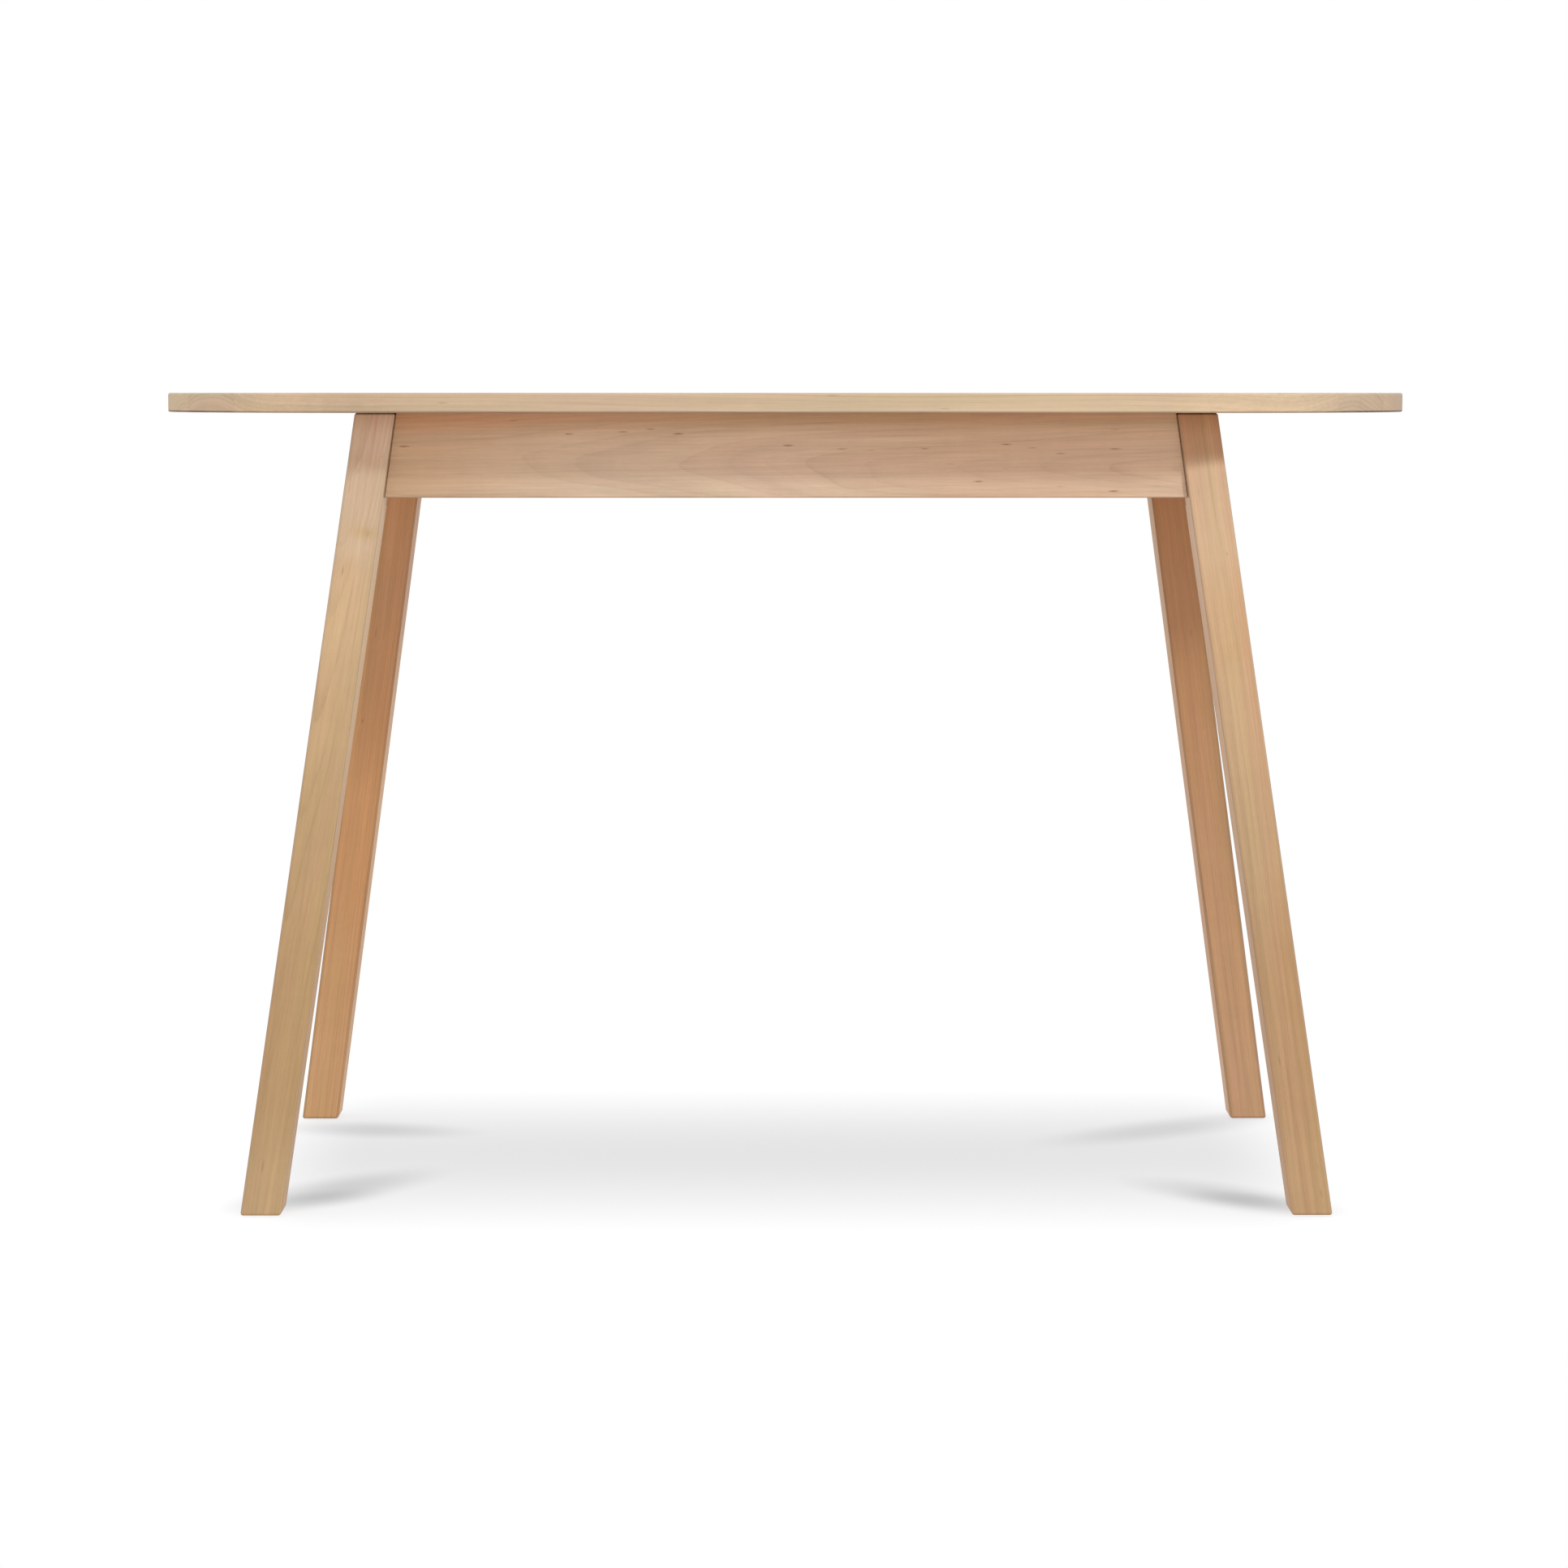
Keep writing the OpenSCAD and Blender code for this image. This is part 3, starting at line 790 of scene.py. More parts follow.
def build_leg(name, side_x, side_y):
    """Face kinds: 0 faces, 1 arrises, 2 arrises that face up, 3 the inner face in X."""
    corner = corner_matrix(side_x, side_y)
    points = [(leg_x(z), leg_y(z), z) for z in (LEG_FOOT, LEG_TOP)
              for leg_x in (leg_x_in, leg_x_out) for leg_y in (leg_y_in, leg_y_out)]
    solid = polyhedron(points, ((0, 1, 3, 2), (4, 6, 7, 5), (0, 2, 6, 4),
                                (1, 5, 7, 3), (0, 4, 5, 1), (2, 3, 7, 6)))
    bmesh.ops.recalc_face_normals(solid, faces=solid.faces)
    round_edges(solid, list(solid.edges), LEG_ARRIS, 5)
    placed(solid, corner)
    solid.normal_update()
    for face in solid.faces:
        if face.material_index == 1 and face.normal.z > 0.3:
            face.material_index = 2
        elif face.material_index == 0 and face.normal.x * side_x < -0.7:
            face.material_index = 3
    obj = from_bmesh(name, solid)
    cutters = [placed(leg_flat_cutter(), corner)]
    for z in BOLT_Z:
        frame = diagonal(leg_corner(z), BOLT_T, z) @ move((0, 0, -0.010))
        length = LEG_FLAT + BOLT_IN_LEG + 0.012
        cutters.append(cylinder(0.00405, length, 28, corner @ frame))
    glide_recess = corner @ move((FOOT_X, FOOT_Y, LEG_FOOT - 0.001))
    cutters.append(cylinder(0.01125, 0.0035, 40, glide_recess))
    return finish_mesh(cut_away(obj, cutters))


def build_rail(name, is_long, side):
    """A rail between two legs, with the clip groove and screw holes on its inner face."""
    gap = 0.0001
    groove_z = ((0, 0, GROOVE_TOP - GROOVE_W), (0, 0, GROOVE_TOP))
    if is_long:
        top, bottom = leg_x_in(UNDER) - gap, leg_x_in(RAIL_BOTTOM) - gap
        points = [(-top, 0, UNDER), (top, 0, UNDER),
                  (bottom, 0, RAIL_BOTTOM), (-bottom, 0, RAIL_BOTTOM)]
        solid = prism(points, (0, RAIL_YI, 0), (0, RAIL_Y, 0))
        mirror = corner_matrix(1, side)
        low, high = RAIL_YI - 0.001, RAIL_YI + GROOVE_D
        groove = [(-0.5, low, 0), (0.5, low, 0), (0.5, high, 0), (-0.5, high, 0)]
    else:
        top, bottom = leg_y_in(UNDER) - gap, leg_y_in(RAIL_BOTTOM) - gap
        points = [(0, -top, UNDER), (0, top, UNDER),
                  (0, bottom, RAIL_BOTTOM), (0, -bottom, RAIL_BOTTOM)]
        solid = prism(points, (RAIL_XI, 0, 0), (RAIL_X, 0, 0))
        mirror = corner_matrix(side, 1)
        low, high = RAIL_XI - 0.001, RAIL_XI + GROOVE_D
        groove = [(low, -0.4, 0), (high, -0.4, 0), (high, 0.4, 0), (low, 0.4, 0)]
    bmesh.ops.recalc_face_normals(solid, faces=solid.faces)
    # the upper edges meet the top and stay crisp, the others are eased
    soft = [edge for edge in solid.edges
            if not all(abs(vert.co.z - UNDER) < 1e-6 for vert in edge.verts)]
    round_edges(solid, soft, 0.0011, 3)
    obj = from_bmesh(name, placed(solid, mirror))
    cutters = [placed(prism(groove, *groove_z), mirror)]
    for end in SIDES:
        for z in SCREW_Z:
            frame = long_screw(z, end, side) if is_long else end_screw(z, side, end)
            cutters.append(cylinder(PILOT_R, 0.031, 20, frame))
    return finish_mesh(cut_away(obj, cutters))


def build_block(name, side_x, side_y):
    """A block across the corner between two rails, with its sharp tips cut off."""
    corner = corner_matrix(side_x, side_y)
    outer, inner, tip = BLOCK_OUT_N * ROOT2, BLOCK_IN_N * ROOT2, 0.0025
    points = [(outer - RAIL_YI, RAIL_YI), (RAIL_XI, outer - RAIL_XI),
              (RAIL_XI, inner - RAIL_XI + tip),
              (RAIL_XI - tip / 2, inner - RAIL_XI + tip / 2),
              (inner - RAIL_YI + tip / 2, RAIL_YI - tip / 2),
              (inner - RAIL_YI + tip, RAIL_YI)]
    solid = prism([(x, y, 0) for x, y in points], (0, 0, block_lo.z), (0, 0, block_hi.z))
    bmesh.ops.recalc_face_normals(solid, faces=solid.faces)
    round_edges(solid, list(solid.edges), 0.0006, 2)
    obj = from_bmesh(name, placed(solid, corner))
    cutters = []
    for z in BOLT_Z:
        frame = corner @ diagonal(BLOCK_IN_N - 0.002, BOLT_T, z)
        cutters.append(cylinder(0.0045, BLOCK_T + 0.004, 28, frame))
    for z in SCREW_Z:
        for screw in (long_screw(z), end_screw(z)):
            frame = corner @ screw
            cutters.append(cylinder(PILOT_R, 0.031, 20, frame))
            cutters.append(cylinder(COUNTERBORE_R, 0.030, 28, frame @ move((0, 0, -0.030))))
    return finish_mesh(cut_away(obj, cutters), angle=25)


# ---------------------------------------------------------------- wooden pieces
TOP_LOOK = dict(
    origin=(0, 0, SURFACE), grain=(1, 0, 0), across=(0, 1, 0),
    light=(0.645, 0.505, 0.345), dark=(0.590, 0.440, 0.285),
    pith=(0.0, -0.055), tilt=(0.004, 0.012), ring=0.0040, staves=(0.0900, 0.36), seed=2.0,
    rough=0.40, band=0.62, ring_depth=0.12, fibre=0.095, figured=0.42, stave_spread=0.15)
# painted light and shade along the top's edge: x, tint
RIM_PAINTED_LIGHT_AND_SHADE = (
    (-0.585, (1.03, 1.12, 1.12)), (-0.47, (0.98, 1.01, 1.02)), (-0.385, (0.81, 0.82, 0.86)),
    (-0.31, (0.82, 0.84, 0.88)), (0.0, (0.82, 0.845, 0.90)), (0.31, (0.84, 0.87, 0.92)),
    (0.40, (0.87, 0.92, 0.96)), (0.55, (0.85, 0.91, 0.96)), (0.59, (0.82, 0.85, 0.87)))
# the top's edge: painted light and shade along it, a slight lightening on the upper arris and
# painted shade on the lower arris
rim_face, rim_upper, rim_lower_painted_shade = wood_set(
    "top_maple_rim", arris=0.03, under=(-0.34, 0.60), tone=RIM_PAINTED_LIGHT_AND_SHADE, **TOP_LOOK)
piece(build_top(),
      [wood("top_maple", **TOP_LOOK), rim_upper, rim_lower_painted_shade, rim_face], "top_panel")

# arris is painted shade on the rails' eased edges
RAIL_LOOK = dict(
    across=(0, 0, 1), light=(0.640, 0.465, 0.330), dark=(0.590, 0.395, 0.268), ring=0.0020,
    rough=0.42, ring_depth=0.080, band=0.46, fibre=0.16, figured=0.38,
    fleck=0.75, fleck_share=0.08, arris=-0.32)
# side, whether it is a long rail, its side of the middle, its own look
RAILS = (
    ("front", True, -1, dict(
        origin=(0.05, -RAIL_Y, RAIL_BOTTOM + 0.03), grain=(1, 0, 0.012),
        pith=(0.0, 0.075), tilt=(0.012, 0.030), seed=5.0, wave=0.006,
        # a band of painted shade under the top, and stops of painted light and shade along the
        # rail
        edge_painted_shade=(0.026, 0.048, (0.91, 0.80, 0.70)),
        tone=((-0.44, (0.92, 0.93, 0.91)), (-0.22, (1.0, 1.155, 1.32)),
              (-0.05, (0.98, 1.12, 1.23)), (0.12, (0.95, 1.06, 1.09)),
              (0.26, (0.96, 1.07, 1.10)), (0.40, (1.01, 1.19, 1.26))))),
    ("back", True, 1, dict(
        origin=(0, RAIL_Y, RAIL_BOTTOM + 0.04), grain=(1, 0, -0.01),
        pith=(0.01, -0.06), tilt=(0.0, 0.028), seed=8.0)),
    ("left", False, -1, dict(
        origin=(-RAIL_X, 0, RAIL_BOTTOM + 0.04), grain=(0, 1, 0.01),
        pith=(-0.01, 0.07), tilt=(0.01, 0.035), seed=12.0)),
    ("right", False, 1, dict(
        origin=(RAIL_X, 0, RAIL_BOTTOM + 0.03), grain=(0, 1, -0.008),
        pith=(0.015, -0.07), tilt=(-0.008, 0.04), seed=15.0)))
for label, is_long, side, look in RAILS:
    piece(build_rail("wood_rail_" + label, is_long, side),
          wood_set(label + "_rail_maple", **look, **RAIL_LOOK), label + "_rail")

LEG_LOOK = dict(
    across=(1, 0, 0), ring=0.0027, rough=0.41, ring_depth=0.09, band=0.62, fibre=0.11,
    figured=0.40, fleck=0.4, fleck_share=0.04)
# the back legs' tint is darker and redder than the front legs': partly their own wood, partly
# painted shade
FRONT_LEG = dict(light=(0.620, 0.450, 0.290), dark=(0.560, 0.385, 0.232))
BACK_LEG = dict(light=(0.600, 0.385, 0.215), dark=(0.550, 0.330, 0.175))
# label, side in x, side in y, tint stops of painted light and shade on the inner face in X,
# own look, whose tone stops are painted light and shade too; places along the grain run down
# from the underside of the top
LEGS = (
    ("front_left", -1, -1,
     ((0.11, (1.01, 1.09, 1.13)), (0.29, (0.94, 1.05, 1.12)),
      (0.52, (0.82, 0.83, 0.78)), (0.68, (0.76, 0.78, 0.76))),
     dict(seed=21.0, pith=(-0.010, 0.055), tilt=(0.010, -0.020), **FRONT_LEG,
          tone=((0.0, (1.08, 1.25, 1.60)), (0.08, (1.0, 1.13, 1.24)),
                (0.19, (0.98, 1.03, 0.95)), (0.29, (0.90, 0.91, 0.80)),
                (0.40, (0.82, 0.80, 0.67)), (0.52, (0.77, 0.74, 0.58)),
                (0.63, (0.77, 0.74, 0.57)), (0.72, (0.86, 0.88, 0.75))),
          knots=((0.114, 0.010, 0.030, 0.0042, 0.20), (0.058, -0.007, 0.030, 0.0030, 0.20),
                 (0.042, 0.0125, 0.030, 0.0014, 0.60)),
          patches=((0.060, -0.008, 0.008, 0.006, (1.03, 1.05, 1.08)),
                   (0.1135, 0.006, 0.005, 0.012, (0.94, 0.90, 0.74)),
                   (0.130, 0.002, 0.011, 0.010, (1.03, 1.06, 1.12)),
                   (0.020, 0.003, 0.030, 0.0012, (0.95, 0.86, 0.80)),
                   (0.150, -0.004, 0.014, 0.005, (0.98, 0.94, 0.88)),
                   (0.048, 0.0, 0.006, 0.022, (0.96, 0.92, 0.89))))),
    ("front_right", 1, -1,
     ((0.11, (1.04, 1.25, 1.40)), (0.29, (0.96, 1.07, 1.14)),
      (0.52, (0.88, 0.94, 0.95)), (0.68, (0.78, 0.80, 0.78))),
     dict(seed=24.0, pith=(0.060, 0.030), tilt=(0.004, 0.010), **FRONT_LEG,
          tone=((0.037, (0.78, 0.69, 0.64)), (0.055, (0.97, 0.99, 1.06)),
                (0.12, (0.97, 0.97, 1.00)), (0.19, (0.90, 0.85, 0.80)),
                (0.29, (0.88, 0.85, 0.80)), (0.40, (0.81, 0.79, 0.72)),
                (0.52, (0.76, 0.69, 0.58)), (0.63, (0.77, 0.71, 0.60)),
                (0.72, (0.83, 0.80, 0.69))),
          knots=((0.135, 0.008, 0.030, 0.0018, 0.40),),
          patches=((0.225, 0.0, 0.010, 0.010, (0.97, 0.95, 0.90)),))),
    ("back_left", -1, 1,
     ((0.16, (0.92, 1.06, 1.16)), (0.33, (1.02, 1.32, 1.62)),
      (0.57, (0.91, 1.02, 1.07)), (0.68, (0.88, 0.99, 1.06))),
     dict(seed=27.0, pith=(0.050, 0.030), tilt=(-0.006, 0.012), **BACK_LEG,
          tone=((0.12, (0.94, 0.93, 0.90)), (0.18, (0.88, 0.86, 0.82)),
                (0.25, (0.92, 0.88, 0.80)), (0.36, (0.96, 0.90, 0.78)),
                (0.47, (0.96, 0.90, 0.77)), (0.60, (0.96, 0.97, 0.88)),
                (0.68, (1.0, 1.03, 0.98))),
          knots=((0.318, -0.009, 0.028, 0.0024, 0.70),))),
    ("back_right", 1, 1,
     ((0.16, (1.12, 1.50, 1.85)), (0.33, (1.01, 1.17, 1.29)),
      (0.57, (0.92, 0.94, 0.93)), (0.68, (0.99, 1.08, 1.15))),
     dict(seed=31.0, pith=(-0.060, 0.035), tilt=(0.006, 0.012), **BACK_LEG,
          tone=((0.12, (0.76, 0.70, 0.62)), (0.18, (0.74, 0.69, 0.65)),
                (0.25, (0.77, 0.73, 0.67)), (0.36, (0.82, 0.80, 0.78)),
                (0.47, (0.84, 0.84, 0.86)), (0.60, (0.87, 0.90, 0.92)),
                (0.68, (0.90, 0.94, 1.02))))))
BLOCK_LOOK = dict(
    across=(0, 0, 1), light=(0.60, 0.42, 0.26), dark=(0.50, 0.33, 0.19), pith=(0.02, 0.05),
    tilt=(0.02, 0.05), ring=0.0035, rough=0.62, lacquer=False, ring_depth=0.14)
LEG_TOP_X = (leg_x_in(UNDER) + leg_x_out(UNDER)) / 2
LEG_TOP_Y = (leg_y_in(UNDER) + leg_y_out(UNDER)) / 2

for label, side_x, side_y, inner_painted_light_and_shade, look in LEGS:
    look = dict(
        origin=(side_x * LEG_TOP_X, side_y * LEG_TOP_Y, UNDER),
        grain=(side_x * (FOOT_X - LEG_TOP_X), side_y * (FOOT_Y - LEG_TOP_Y), -UNDER),
        **look, **LEG_LOOK)
    # painted shade on the arrises, deeper on the back legs and where the rounded edges turn away
    # from the eye, and deepest on the arrises that face up under the top
    materials = wood_set("leg_maple_" + label, arris=-0.05 if side_y < 0 else -0.20,
                         rim=0.55, under=(-0.50, 0.55), **look)
    # a copy for the inner face in X, with painted light and shade along it
    materials.append(wood("leg_maple_" + label + "_side", side_painted_light_and_shade=inner_painted_light_and_shade, **look))
    piece(build_leg("wood_leg_" + label, side_x, side_y), materials,
          "leg_" + label)
    birch = wood("block_birch_" + label, origin=(side_x * RAIL_XI, side_y * RAIL_YI, block_lo.z),
                 grain=(1, -side_x * side_y, 0), seed=look["seed"] + 2, **BLOCK_LOOK)
    piece(build_block("wood_block_" + label, side_x, side_y), [birch],
          "corner_block_" + label)


# ---------------------------------------------------------------- metal and nylon
def zinc(name, tone=1.0, seed=0.0):
    """Zinc-plated steel with a cloudy sheen; tone scales its brightness."""
    material, graph = new_material(name)
    place = graph.vmath("ADD", graph.get("ShaderNodeTexCoord", "Object"), (seed,) * 3)
    cloud = graph.noise(place, (220.0,) * 3, detail=3.0)
    fine = graph.noise(place, (2600.0,) * 3)
    colour = graph.mix(cloud, (0.60 * tone, 0.62 * tone, 0.66 * tone),
                       (0.76 * tone, 0.76 * tone, 0.75 * tone))
    graph.surface({"Base Color": colour, "Metallic": 1.0,
                   "Roughness": 0.22 + (cloud * 0.16 + fine * 0.08)},
                  height=fine + cloud * 0.4, strength=0.25, distance=0.00005)
    return material


def nylon(name):
    material, graph = new_material(name)
    coords = graph.get("ShaderNodeTexCoord", "Object")
    cloud = graph.noise(coords, (90.0,) * 3)
    fine = graph.noise(coords, (3000.0,) * 3)
    graph.surface({"Base Color": graph.mix(cloud, (0.80, 0.77, 0.69), (0.72, 0.69, 0.61)),
                   "Roughness": 0.42 + fine * 0.14, "Subsurface Weight": 0.08,
                   "Subsurface Radius": (0.002, 0.0015, 0.001)},
                  height=fine, strength=0.2, distance=0.00004)
    return material


# ---------------------------------------------------------------- fastenings and feet
def thread(z, pitch, crest, root):
    """Radius round the ring at height z of a right-handed thread."""
    def radius(angle):
        phase = (z / pitch - angle / (2 * math.pi)) % 1.0
        rise = min(max((abs(2 * phase - 1) - 0.14) / 0.70, 0.0), 1.0)
        return crest - (crest - root) * rise
    return radius


def hanger_bolt(length):
    """Machine thread at the free end, plain in the middle, wood thread in the leg."""
    crest, shank = 0.0040, 0.00398
    machine_pitch, machine_root, runout, runout_length = 0.00125, 0.00335, 0.0145, 0.0013
    wood_pitch, wood_root, wood_start, wood_point = 0.0032, 0.0031, 0.0405, 0.004

    def limited(radius, limit):
        return lambda angle: min(radius(angle), limit)

    rows, z = [(0.0, 0.0031)], 0.0002
    while z < 0.0158:
        root = machine_root
        if z >= runout:
            root = machine_root + (crest - machine_root) * (z - runout) / runout_length
        # the limit chamfers the free end
        rows.append((z, limited(thread(z, machine_pitch, crest, root), 0.0032 + z)))
        z += machine_pitch / 6
    rows += [(0.0162, shank), (0.040, shank)]
    z = wood_start
    while z < length - wood_point:
        root = min(wood_root, crest - (z - wood_start) * 0.4)
        rows.append((z, thread(z, wood_pitch, crest, root)))
        z += wood_pitch / 6
    rows += [(length - 0.0035, wood_root), (length - 0.0012, 0.0013), (length, 0.0006)]
    return turned(rows)


def pan_screw(length, head):
    """Pan head with a cross recess. The head's underside is at the origin."""
    crest, root, pitch, start = 0.0020, 0.00145, 0.0018, 0.0013
    rows = [(-head, 0.0021), (-head + 0.00012, 0.0028), (-head + 0.00045, 0.00345),
            (-head + 0.0010, 0.00382), (-0.0007, 0.0040), (-0.0001, 0.0040), (0.0, 0.0039),
            (0.00004, 0.0020), (0.0011, 0.00198)]
    z = start
    while z < length - 0.0042:
        rows.append((z, thread(z, pitch, crest, max(root, crest - (z - start) * 0.6))))
        z += pitch / 5
    rows += [(length - 0.0036, 0.0014), (length - 0.0010, 0.0006), (length, 0.0003)]
    low, high = -head - 0.0002, -head + 0.0014
    slot = [(-0.0021, 0, low), (0.0021, 0, low), (0.0011, 0, high), (-0.0011, 0, high)]
    cutters = [placed(prism(slot, (0, -0.00038, 0), (0, 0.00038, 0)), turn(angle + 15, "Z"))
               for angle in (0, 90)]
    return cut_bmesh(turned(rows), cutters)


def hex_nut():
    flat, bore, bevel = 0.0065, 0.00405, 0.0005
    face = flat * 0.975    # radius of the flat ring on each end

    def loop(angle):
        out = flat / math.cos((angle % math.radians(60)) - math.radians(30))
        drop = (out - face) * math.tan(math.radians(30))
        return [(bore, bevel), (bore + bevel, 0), (face, 0), (out, drop),
                (out, NUT_H - drop), (face, NUT_H), (bore + bevel, NUT_H),
                (bore, NUT_H - bevel)]
    return ring_of(loop, 48)


def lock_washer():
    """A square section wound once round, with slanting cut ends."""
    height, inner, outer, bevel = 0.00198, 0.0041, 0.0070, 0.0002
    count, gap, slant = 44, math.radians(6.5), 62    # slant in radians per metre
    loop = [(inner, bevel), (inner + bevel, 0), (outer - bevel, 0), (outer, bevel),
            (outer, height - bevel), (outer - bevel, height), (inner + bevel, height),
            (inner, height - bevel)]
    solid, rings = bmesh.new(), []
    for i in range(count + 1):
        base = math.pi / 2 + gap + (2 * math.pi - 2 * gap) * i / count
        ring = []
        for radius, z in loop:
            angle = base + (z - height / 2) * slant
            ring.append(solid.verts.new((radius * math.cos(angle), radius * math.sin(angle), z)))
        rings.append(ring)
    join_loops(solid, zip(rings, rings[1:]))
    solid.faces.new(rings[0])
    solid.faces.new(rings[-1][::-1])
    return solid


def bend(x, z, radius, start, stop, steps=6):
    """Points (x, z) of an arc between two angles in degrees."""
    angles = [math.radians(start + (stop - start) * i / steps) for i in range(steps + 1)]
    return [(x + radius * math.cos(angle), z + radius * math.sin(angle)) for angle in angles]


def top_clip():
    """A bent strip of steel: a lip in the rail's groove, a riser and a flange with a hole."""
    width, lip, rise, end = 0.020, -0.007, 0.003, 0.026
    big, small, ease = 0.0013, 0.0006, 0.0003
    lip_low, flange_low = GROOVE_TOP - CLIP_T, UNDER - CLIP_T
    points = [
        (lip + ease, lip_low),
        *bend(rise + CLIP_T - big, lip_low + big, big, -90, 0),
        *bend(rise + CLIP_T + small, flange_low - small, small, 180, 90),
        (end - 0.0004, flange_low), (end, flange_low + 0.0004),
        (end, UNDER - ease), (end - ease, UNDER),
        *bend(rise + big, UNDER - big, big, 90, 180),
        *bend(rise - small, GROOVE_TOP + small, small, 0, -90),
        (lip + ease, GROOVE_TOP), (lip, GROOVE_TOP - ease), (lip, lip_low + ease)]
    body = prism([(x, 0, z) for x, z in points], (0, -width / 2, 0), (0, width / 2, 0))
    bmesh.ops.recalc_face_normals(body, faces=body.faces)
    sides = [face for face in body.faces if abs(face.normal.y) > 0.9]
    rim_edges = list({edge for face in sides for edge in face.edges})
    bmesh.ops.bevel(body, geom=rim_edges, offset=0.00018, segments=2, profile=0.5,
                    affect="EDGES", clamp_overlap=True)
    hole = cylinder(0.00225, 0.010, 28, move((CLIP_SCREW_X, 0, UNDER - 0.005)))
    return cut_bmesh(body, [hole])


# (radius, height) points
FLAT_WASHER = (
    (0.0042, 0.00015), (0.00435, 0), (0.0077, 0), (0.00792, 0.0001), (0.0080, 0.0003),
    (0.0080, 0.00145), (0.00785, 0.0016), (0.00435, 0.0016), (0.0042, 0.00145))
GLIDE = (
    (0, 0), (0.0096, 0), (0.01015, 0.00012), (0.01062, 0.00042), (0.01090, 0.00085),
    (0.0110, 0.00135), (0.0110, 0.0034), (0.0109, 0.0035), (0.0012, 0.0035),
    (0.00105, 0.00335), (0.00105, 0.00225), (0.00305, 0.00225), (0.00305, 0.0012), (0, 0.0012))
GLIDE_NAIL = (
    (0, 0), (0.0028, 0), (0.0030, 0.0002), (0.0030, 0.0008), (0.0028, 0.0010),
    (0.00098, 0.0010), (0.00098, 0.0130), (0.0005, 0.0144), (0, 0.0155))

bright = zinc("zinc_bright")
darker = zinc("zinc_dark", tone=0.72, seed=3.0)
white = nylon("glide_nylon")


def on_bolts(outward, heights=BOLT_Z):
    """Frames on every bolt's line, at a distance along the 45 degree line."""
    return [corner_matrix(*corner) @ diagonal(outward, BOLT_T, z)
            for corner in CORNERS for z in heights]


def steel(name, solid, frames, node, finish=bright, angle=32):
    piece(copies("steel_" + name, solid, frames, angle), [finish], node)


for label, z in zip(("low", "high"), BOLT_Z):
    start = NUT_N - BOLT_SHOWS
    tip = leg_corner(z) + LEG_FLAT + BOLT_IN_LEG
    steel("hanger_bolts_" + label, hanger_bolt(tip - start), on_bolts(start, (z,)),
          "hanger_bolts")
steel("washers", ring_of(FLAT_WASHER, 56), on_bolts(WASHER_N), "bolt_washers")
steel("lock_washers", lock_washer(), on_bolts(LOCK_N + 0.00001), "bolt_lock_washers",
      finish=darker)
steel("nuts", hex_nut(), on_bolts(NUT_N), "bolt_nuts", angle=20)

screw_frames = [corner_matrix(*corner) @ screw(z)
                for corner in CORNERS for z in SCREW_Z for screw in (long_screw, end_screw)]
steel("block_screws", pan_screw(0.028, head=0.0026), screw_frames, "block_screws")

steel("top_clips", top_clip(), CLIP_FRAMES, "top_clips")
under_clip = move((CLIP_SCREW_X, 0, UNDER - CLIP_T))
steel("clip_screws", pan_screw(0.0125, head=0.0024),
      [frame @ under_clip for frame in CLIP_FRAMES], "top_clip_screws")

foot_frames = [corner_matrix(*corner) @ move((FOOT_X, FOOT_Y, 0)) for corner in CORNERS]
piece(copies("nylon_glides", lathe(GLIDE, 56), foot_frames), [white], "foot_glides")
steel("glide_nails", lathe(GLIDE_NAIL, 24),
      [frame @ move((0, 0, 0.0012)) for frame in foot_frames], "glide_nails")


# ---------------------------------------------------------------- floor
FLOOR_LIFT, FLOOR_SHADE = 0.91, 0.275    # glow of the floor, and how much the shadow takes
# soft shadows near the feet: x, y, turn in degrees, half length, half width, depth
FOOT_SHADOWS = (
    (-0.430, -0.175, 57, 0.19, 0.07, 0.80), (0.42, -0.21, 128, 0.17, 0.07, 0.72),
    (0.385, 0.205, 40, 0.20, 0.07, 0.55), (-0.425, 0.205, -14, 0.14, 0.07, 0.62),
    (-0.440, -0.225, 45, 0.10, 0.055, 0.50), (0.435, -0.235, 135, 0.10, 0.055, 0.55))


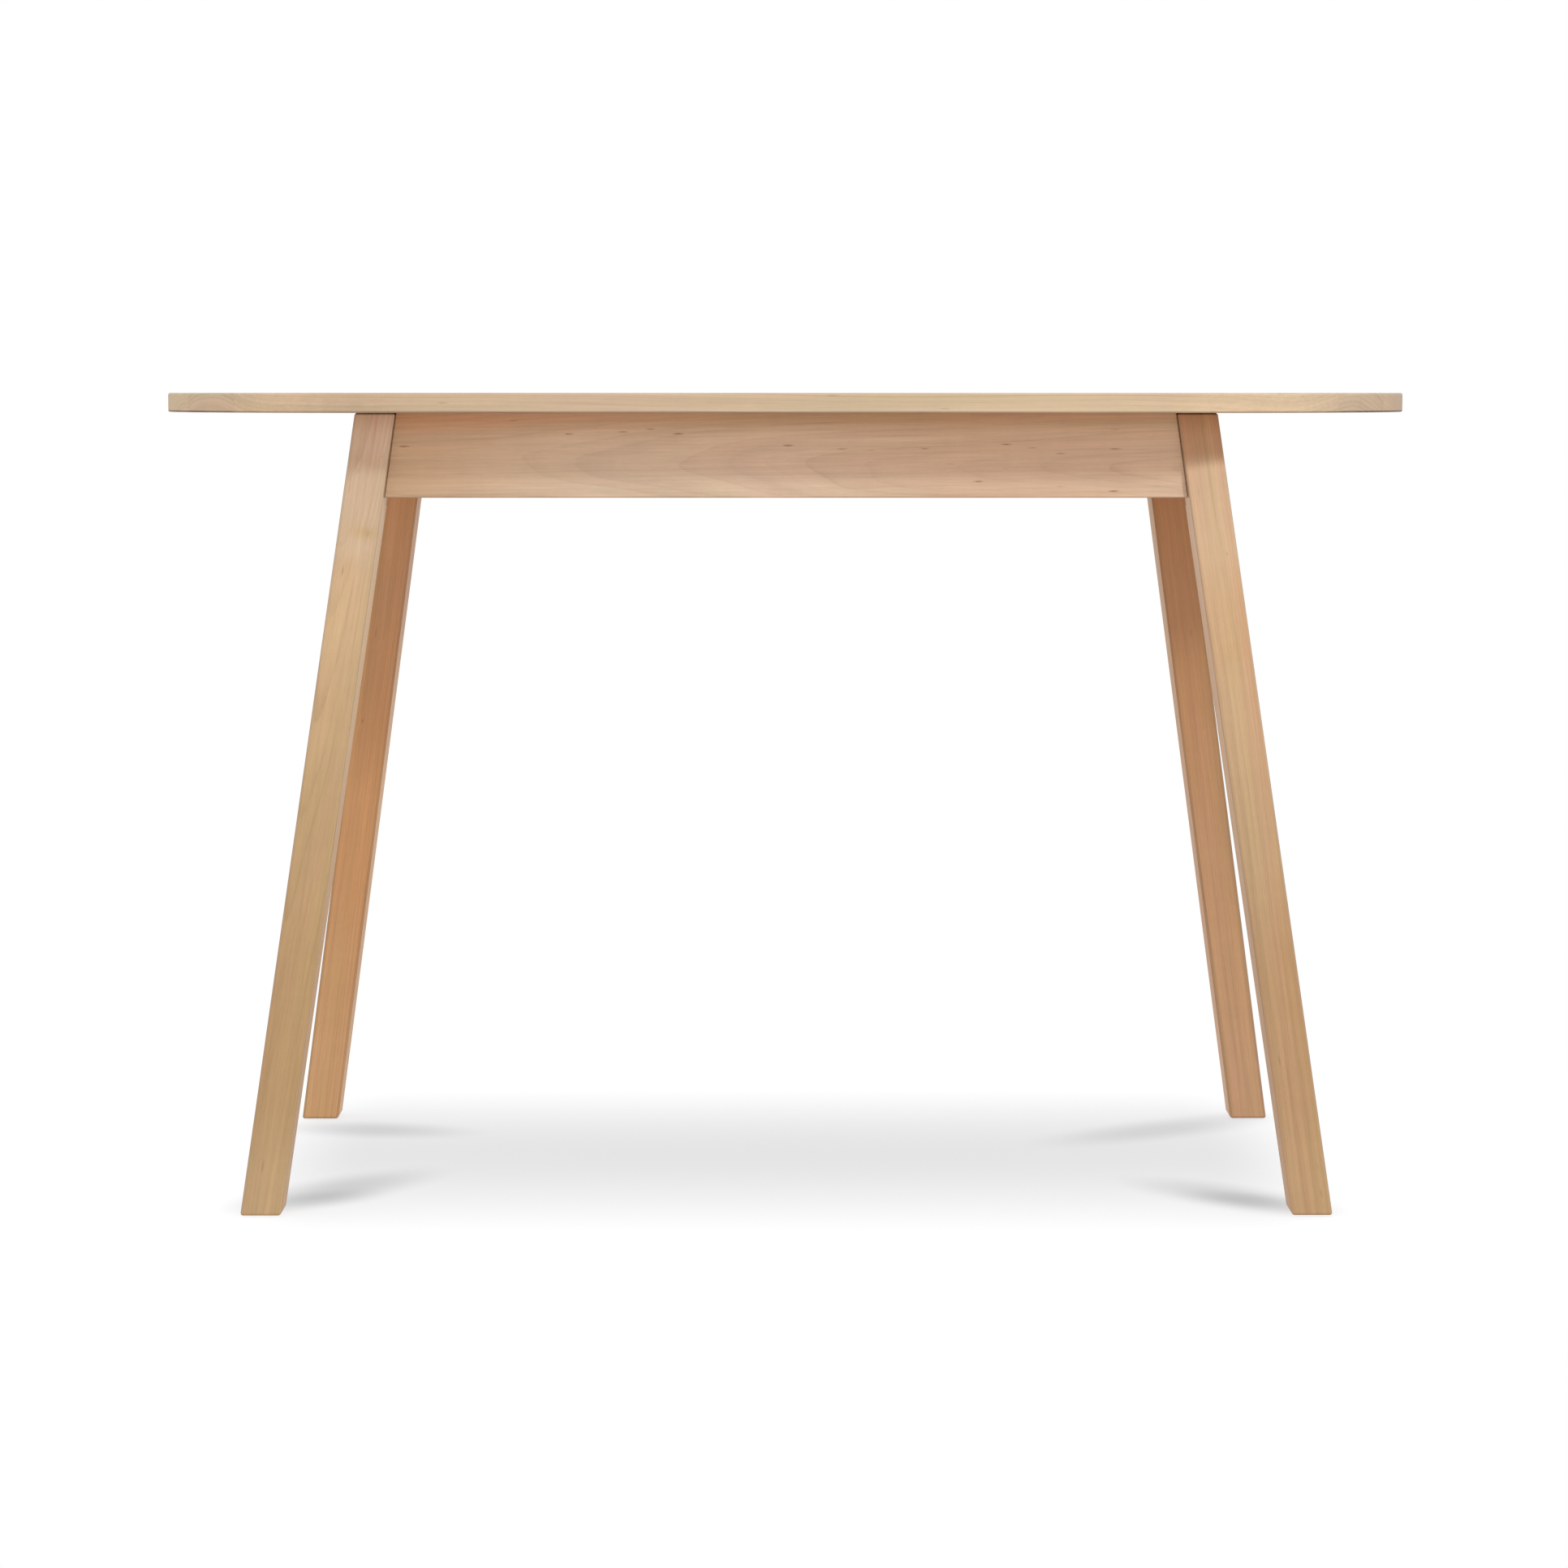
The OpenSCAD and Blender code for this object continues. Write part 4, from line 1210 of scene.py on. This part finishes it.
def floor_material():
    """White that fades into the background, with a broad soft shadow under the table."""
    material, graph = new_material("studio_floor")
    place = graph.get("ShaderNodeNewGeometry", "Position")
    x, y, _ = graph.split(place, "XYZ")
    away_x = graph.math("ABSOLUTE", x)
    away_y = graph.math("ABSOLUTE", y - 0.05)
    pool = graph.smooth(away_x, 0.585, 0.41) * graph.smooth(away_y, 0.66, 0.0)
    for centre_x, centre_y, angle, length, width, depth in FOOT_SHADOWS:
        cos, sin = math.cos(math.radians(angle)), math.sin(math.radians(angle))
        off_x, off_y = x - centre_x, y - centre_y
        along = (off_x * cos + off_y * sin) * (1.0 / length)
        beside = (off_y * cos - off_x * sin) * (1.0 / width)
        away = graph.math("SQRT", along * along + beside * beside)
        pool = pool + graph.smooth(away, 1.0, 0.1) * depth
    tone = graph.noise(place, (60.0,) * 3)
    matt = graph.get("ShaderNodeBsdfPrincipled", 0, {
        "Base Color": (0.195, 0.21, 0.235, 1), "Roughness": 0.85 + tone * 0.1,
        "Specular IOR Level": 0.1})
    lift = graph.get("ShaderNodeEmission", 0, {
        "Color": (1, 1, 1, 1), "Strength": FLOOR_LIFT - pool * FLOOR_SHADE})
    both = graph.get("ShaderNodeAddShader", 0, {0: matt, 1: lift})
    glow = graph.get("ShaderNodeEmission", 0, {"Color": (1, 1, 1, 1), "Strength": 1.0})
    outward = graph.vmath("LENGTH", graph.vmath("MULTIPLY", place, (0.85, 1.0, 0.0)))
    fade = graph.smooth(outward, 0.55, 1.1)
    shader = graph.get("ShaderNodeMixShader", 0, {0: fade, 1: both, 2: glow})
    graph.node("ShaderNodeOutputMaterial", {0: shader})
    return material


def build_floor():
    """The floor casts no bounce: the warm lower half of the world does that instead."""
    solid = bmesh.new()
    bmesh.ops.create_grid(solid, x_segments=40, y_segments=40, size=30)
    floor = from_bmesh("floor", placed(solid, move((0, 0, -0.0004))))
    floor.data.materials.append(floor_material())
    floor.visible_diffuse = False
    floor.visible_glossy = False
    floor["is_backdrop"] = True


build_floor()


# ---------------------------------------------------------------- lights
def aimed_spot(name, place, aim, radius, energy, angle, colour):
    data = bpy.data.lights.new(name, "SPOT")
    data.shadow_soft_size = radius
    data.energy = energy
    data.color = colour
    data.spot_size = math.radians(angle)
    data.spot_blend = 1.0
    lamp = new_object(name, data)
    lamp.location = place
    lamp.rotation_mode = "QUATERNION"
    lamp.rotation_quaternion = (Vector(aim) - Vector(place)).to_track_quat("-Z", "Y")
    lamp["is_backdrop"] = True
    return lamp


# how far each lamp stands in front of the table; its height rises with that distance
KEY_AWAY, FILL_AWAY = 1.5, 3.0
key = aimed_spot(
    "key", place=(0.95, -0.35 - KEY_AWAY, UNDER + 0.585 * KEY_AWAY), aim=(0.18, -0.28, 0.82),
    radius=0.10, energy=54.0, angle=105.0, colour=(0.97, 0.99, 1.0))
fill = aimed_spot(
    "fill", place=(-0.10, -0.27 - FILL_AWAY, UNDER - 0.04 + 0.112 * FILL_AWAY),
    aim=(-0.10, -0.30, 0.80), radius=0.38, energy=52.0, angle=46.0, colour=(0.90, 0.97, 1.0))

# both lamps light the table and leave the floor alone
lit_things = bpy.data.collections.new("lit_by_key")
bpy.context.scene.collection.children.link(lit_things)
for obj in bpy.context.scene.objects:
    if obj.type == "MESH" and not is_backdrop(obj):
        lit_things.objects.link(obj)
for lamp in (key, fill):
    lamp.visible_glossy = False
    lamp.light_linking.receiver_collection = lit_things


# ---------------------------------------------------------------- world
SKY = (0.62, 0.655, 0.68)
ZENITH = (1.02, 0.94, 0.85)
BOUNCE = (0.84, 0.62, 0.51)    # the warm light from below
WALL_GAIN = 0.85               # how much brighter the side walls are


def build_world():
    """A studio that lights the table, while the camera sees plain white."""
    world = bpy.data.worlds.new("studio")
    bpy.context.scene.world = world
    world.use_nodes = True
    graph = Graph(world.node_tree)
    x, _, z = graph.split(graph.get("ShaderNodeTexCoord", "Generated"), "XYZ")
    colour = graph.mix(graph.smooth(z, -0.12, 0.12), BOUNCE, SKY)
    walls = graph.smooth(graph.math("ABSOLUTE", x), 0.45, 0.90) * (
        graph.smooth(z, -0.25, 0.0) * graph.smooth(z, 0.75, 0.35))
    colour = graph.scale_colour(colour, 1.0 + walls * WALL_GAIN)
    colour = graph.mix(graph.smooth(z, 0.50, 0.85), colour, ZENITH)
    lit = graph.get("ShaderNodeBackground", 0, {"Color": colour, "Strength": 1.0})
    seen = graph.get("ShaderNodeBackground", 0, {"Color": (1, 1, 1, 1), "Strength": 1.0})
    camera_ray = graph.get("ShaderNodeLightPath", "Is Camera Ray")
    shader = graph.get("ShaderNodeMixShader", 0, {0: camera_ray, 1: lit, 2: seen})
    graph.node("ShaderNodeOutputWorld", {0: shader})


build_world()


# ---------------------------------------------------------------- view and camera
scene = bpy.context.scene
scene.view_settings.view_transform = "Standard"
scene.view_settings.look = "None"
scene.view_settings.exposure = 0.0
scene.view_settings.gamma = 1.0

camera_data = bpy.data.cameras.new("camera")
camera_data.sensor_width = 36.0
camera_data.lens = 109.937888
camera_data.clip_end = 100.0
camera = new_object("camera", camera_data)
camera.location = (-0.0167, -4.645, 0.750)
YAW, PITCH, ROLL = math.radians(0.19), math.radians(4.67), math.radians(0.003)
aim = (Matrix.Rotation(-YAW, 4, "Z") @ Matrix.Rotation(math.pi / 2 - PITCH, 4, "X")
       @ Matrix.Rotation(ROLL, 4, "Z"))
camera.rotation_mode = "QUATERNION"
camera.rotation_quaternion = aim.to_quaternion()
scene.camera = camera
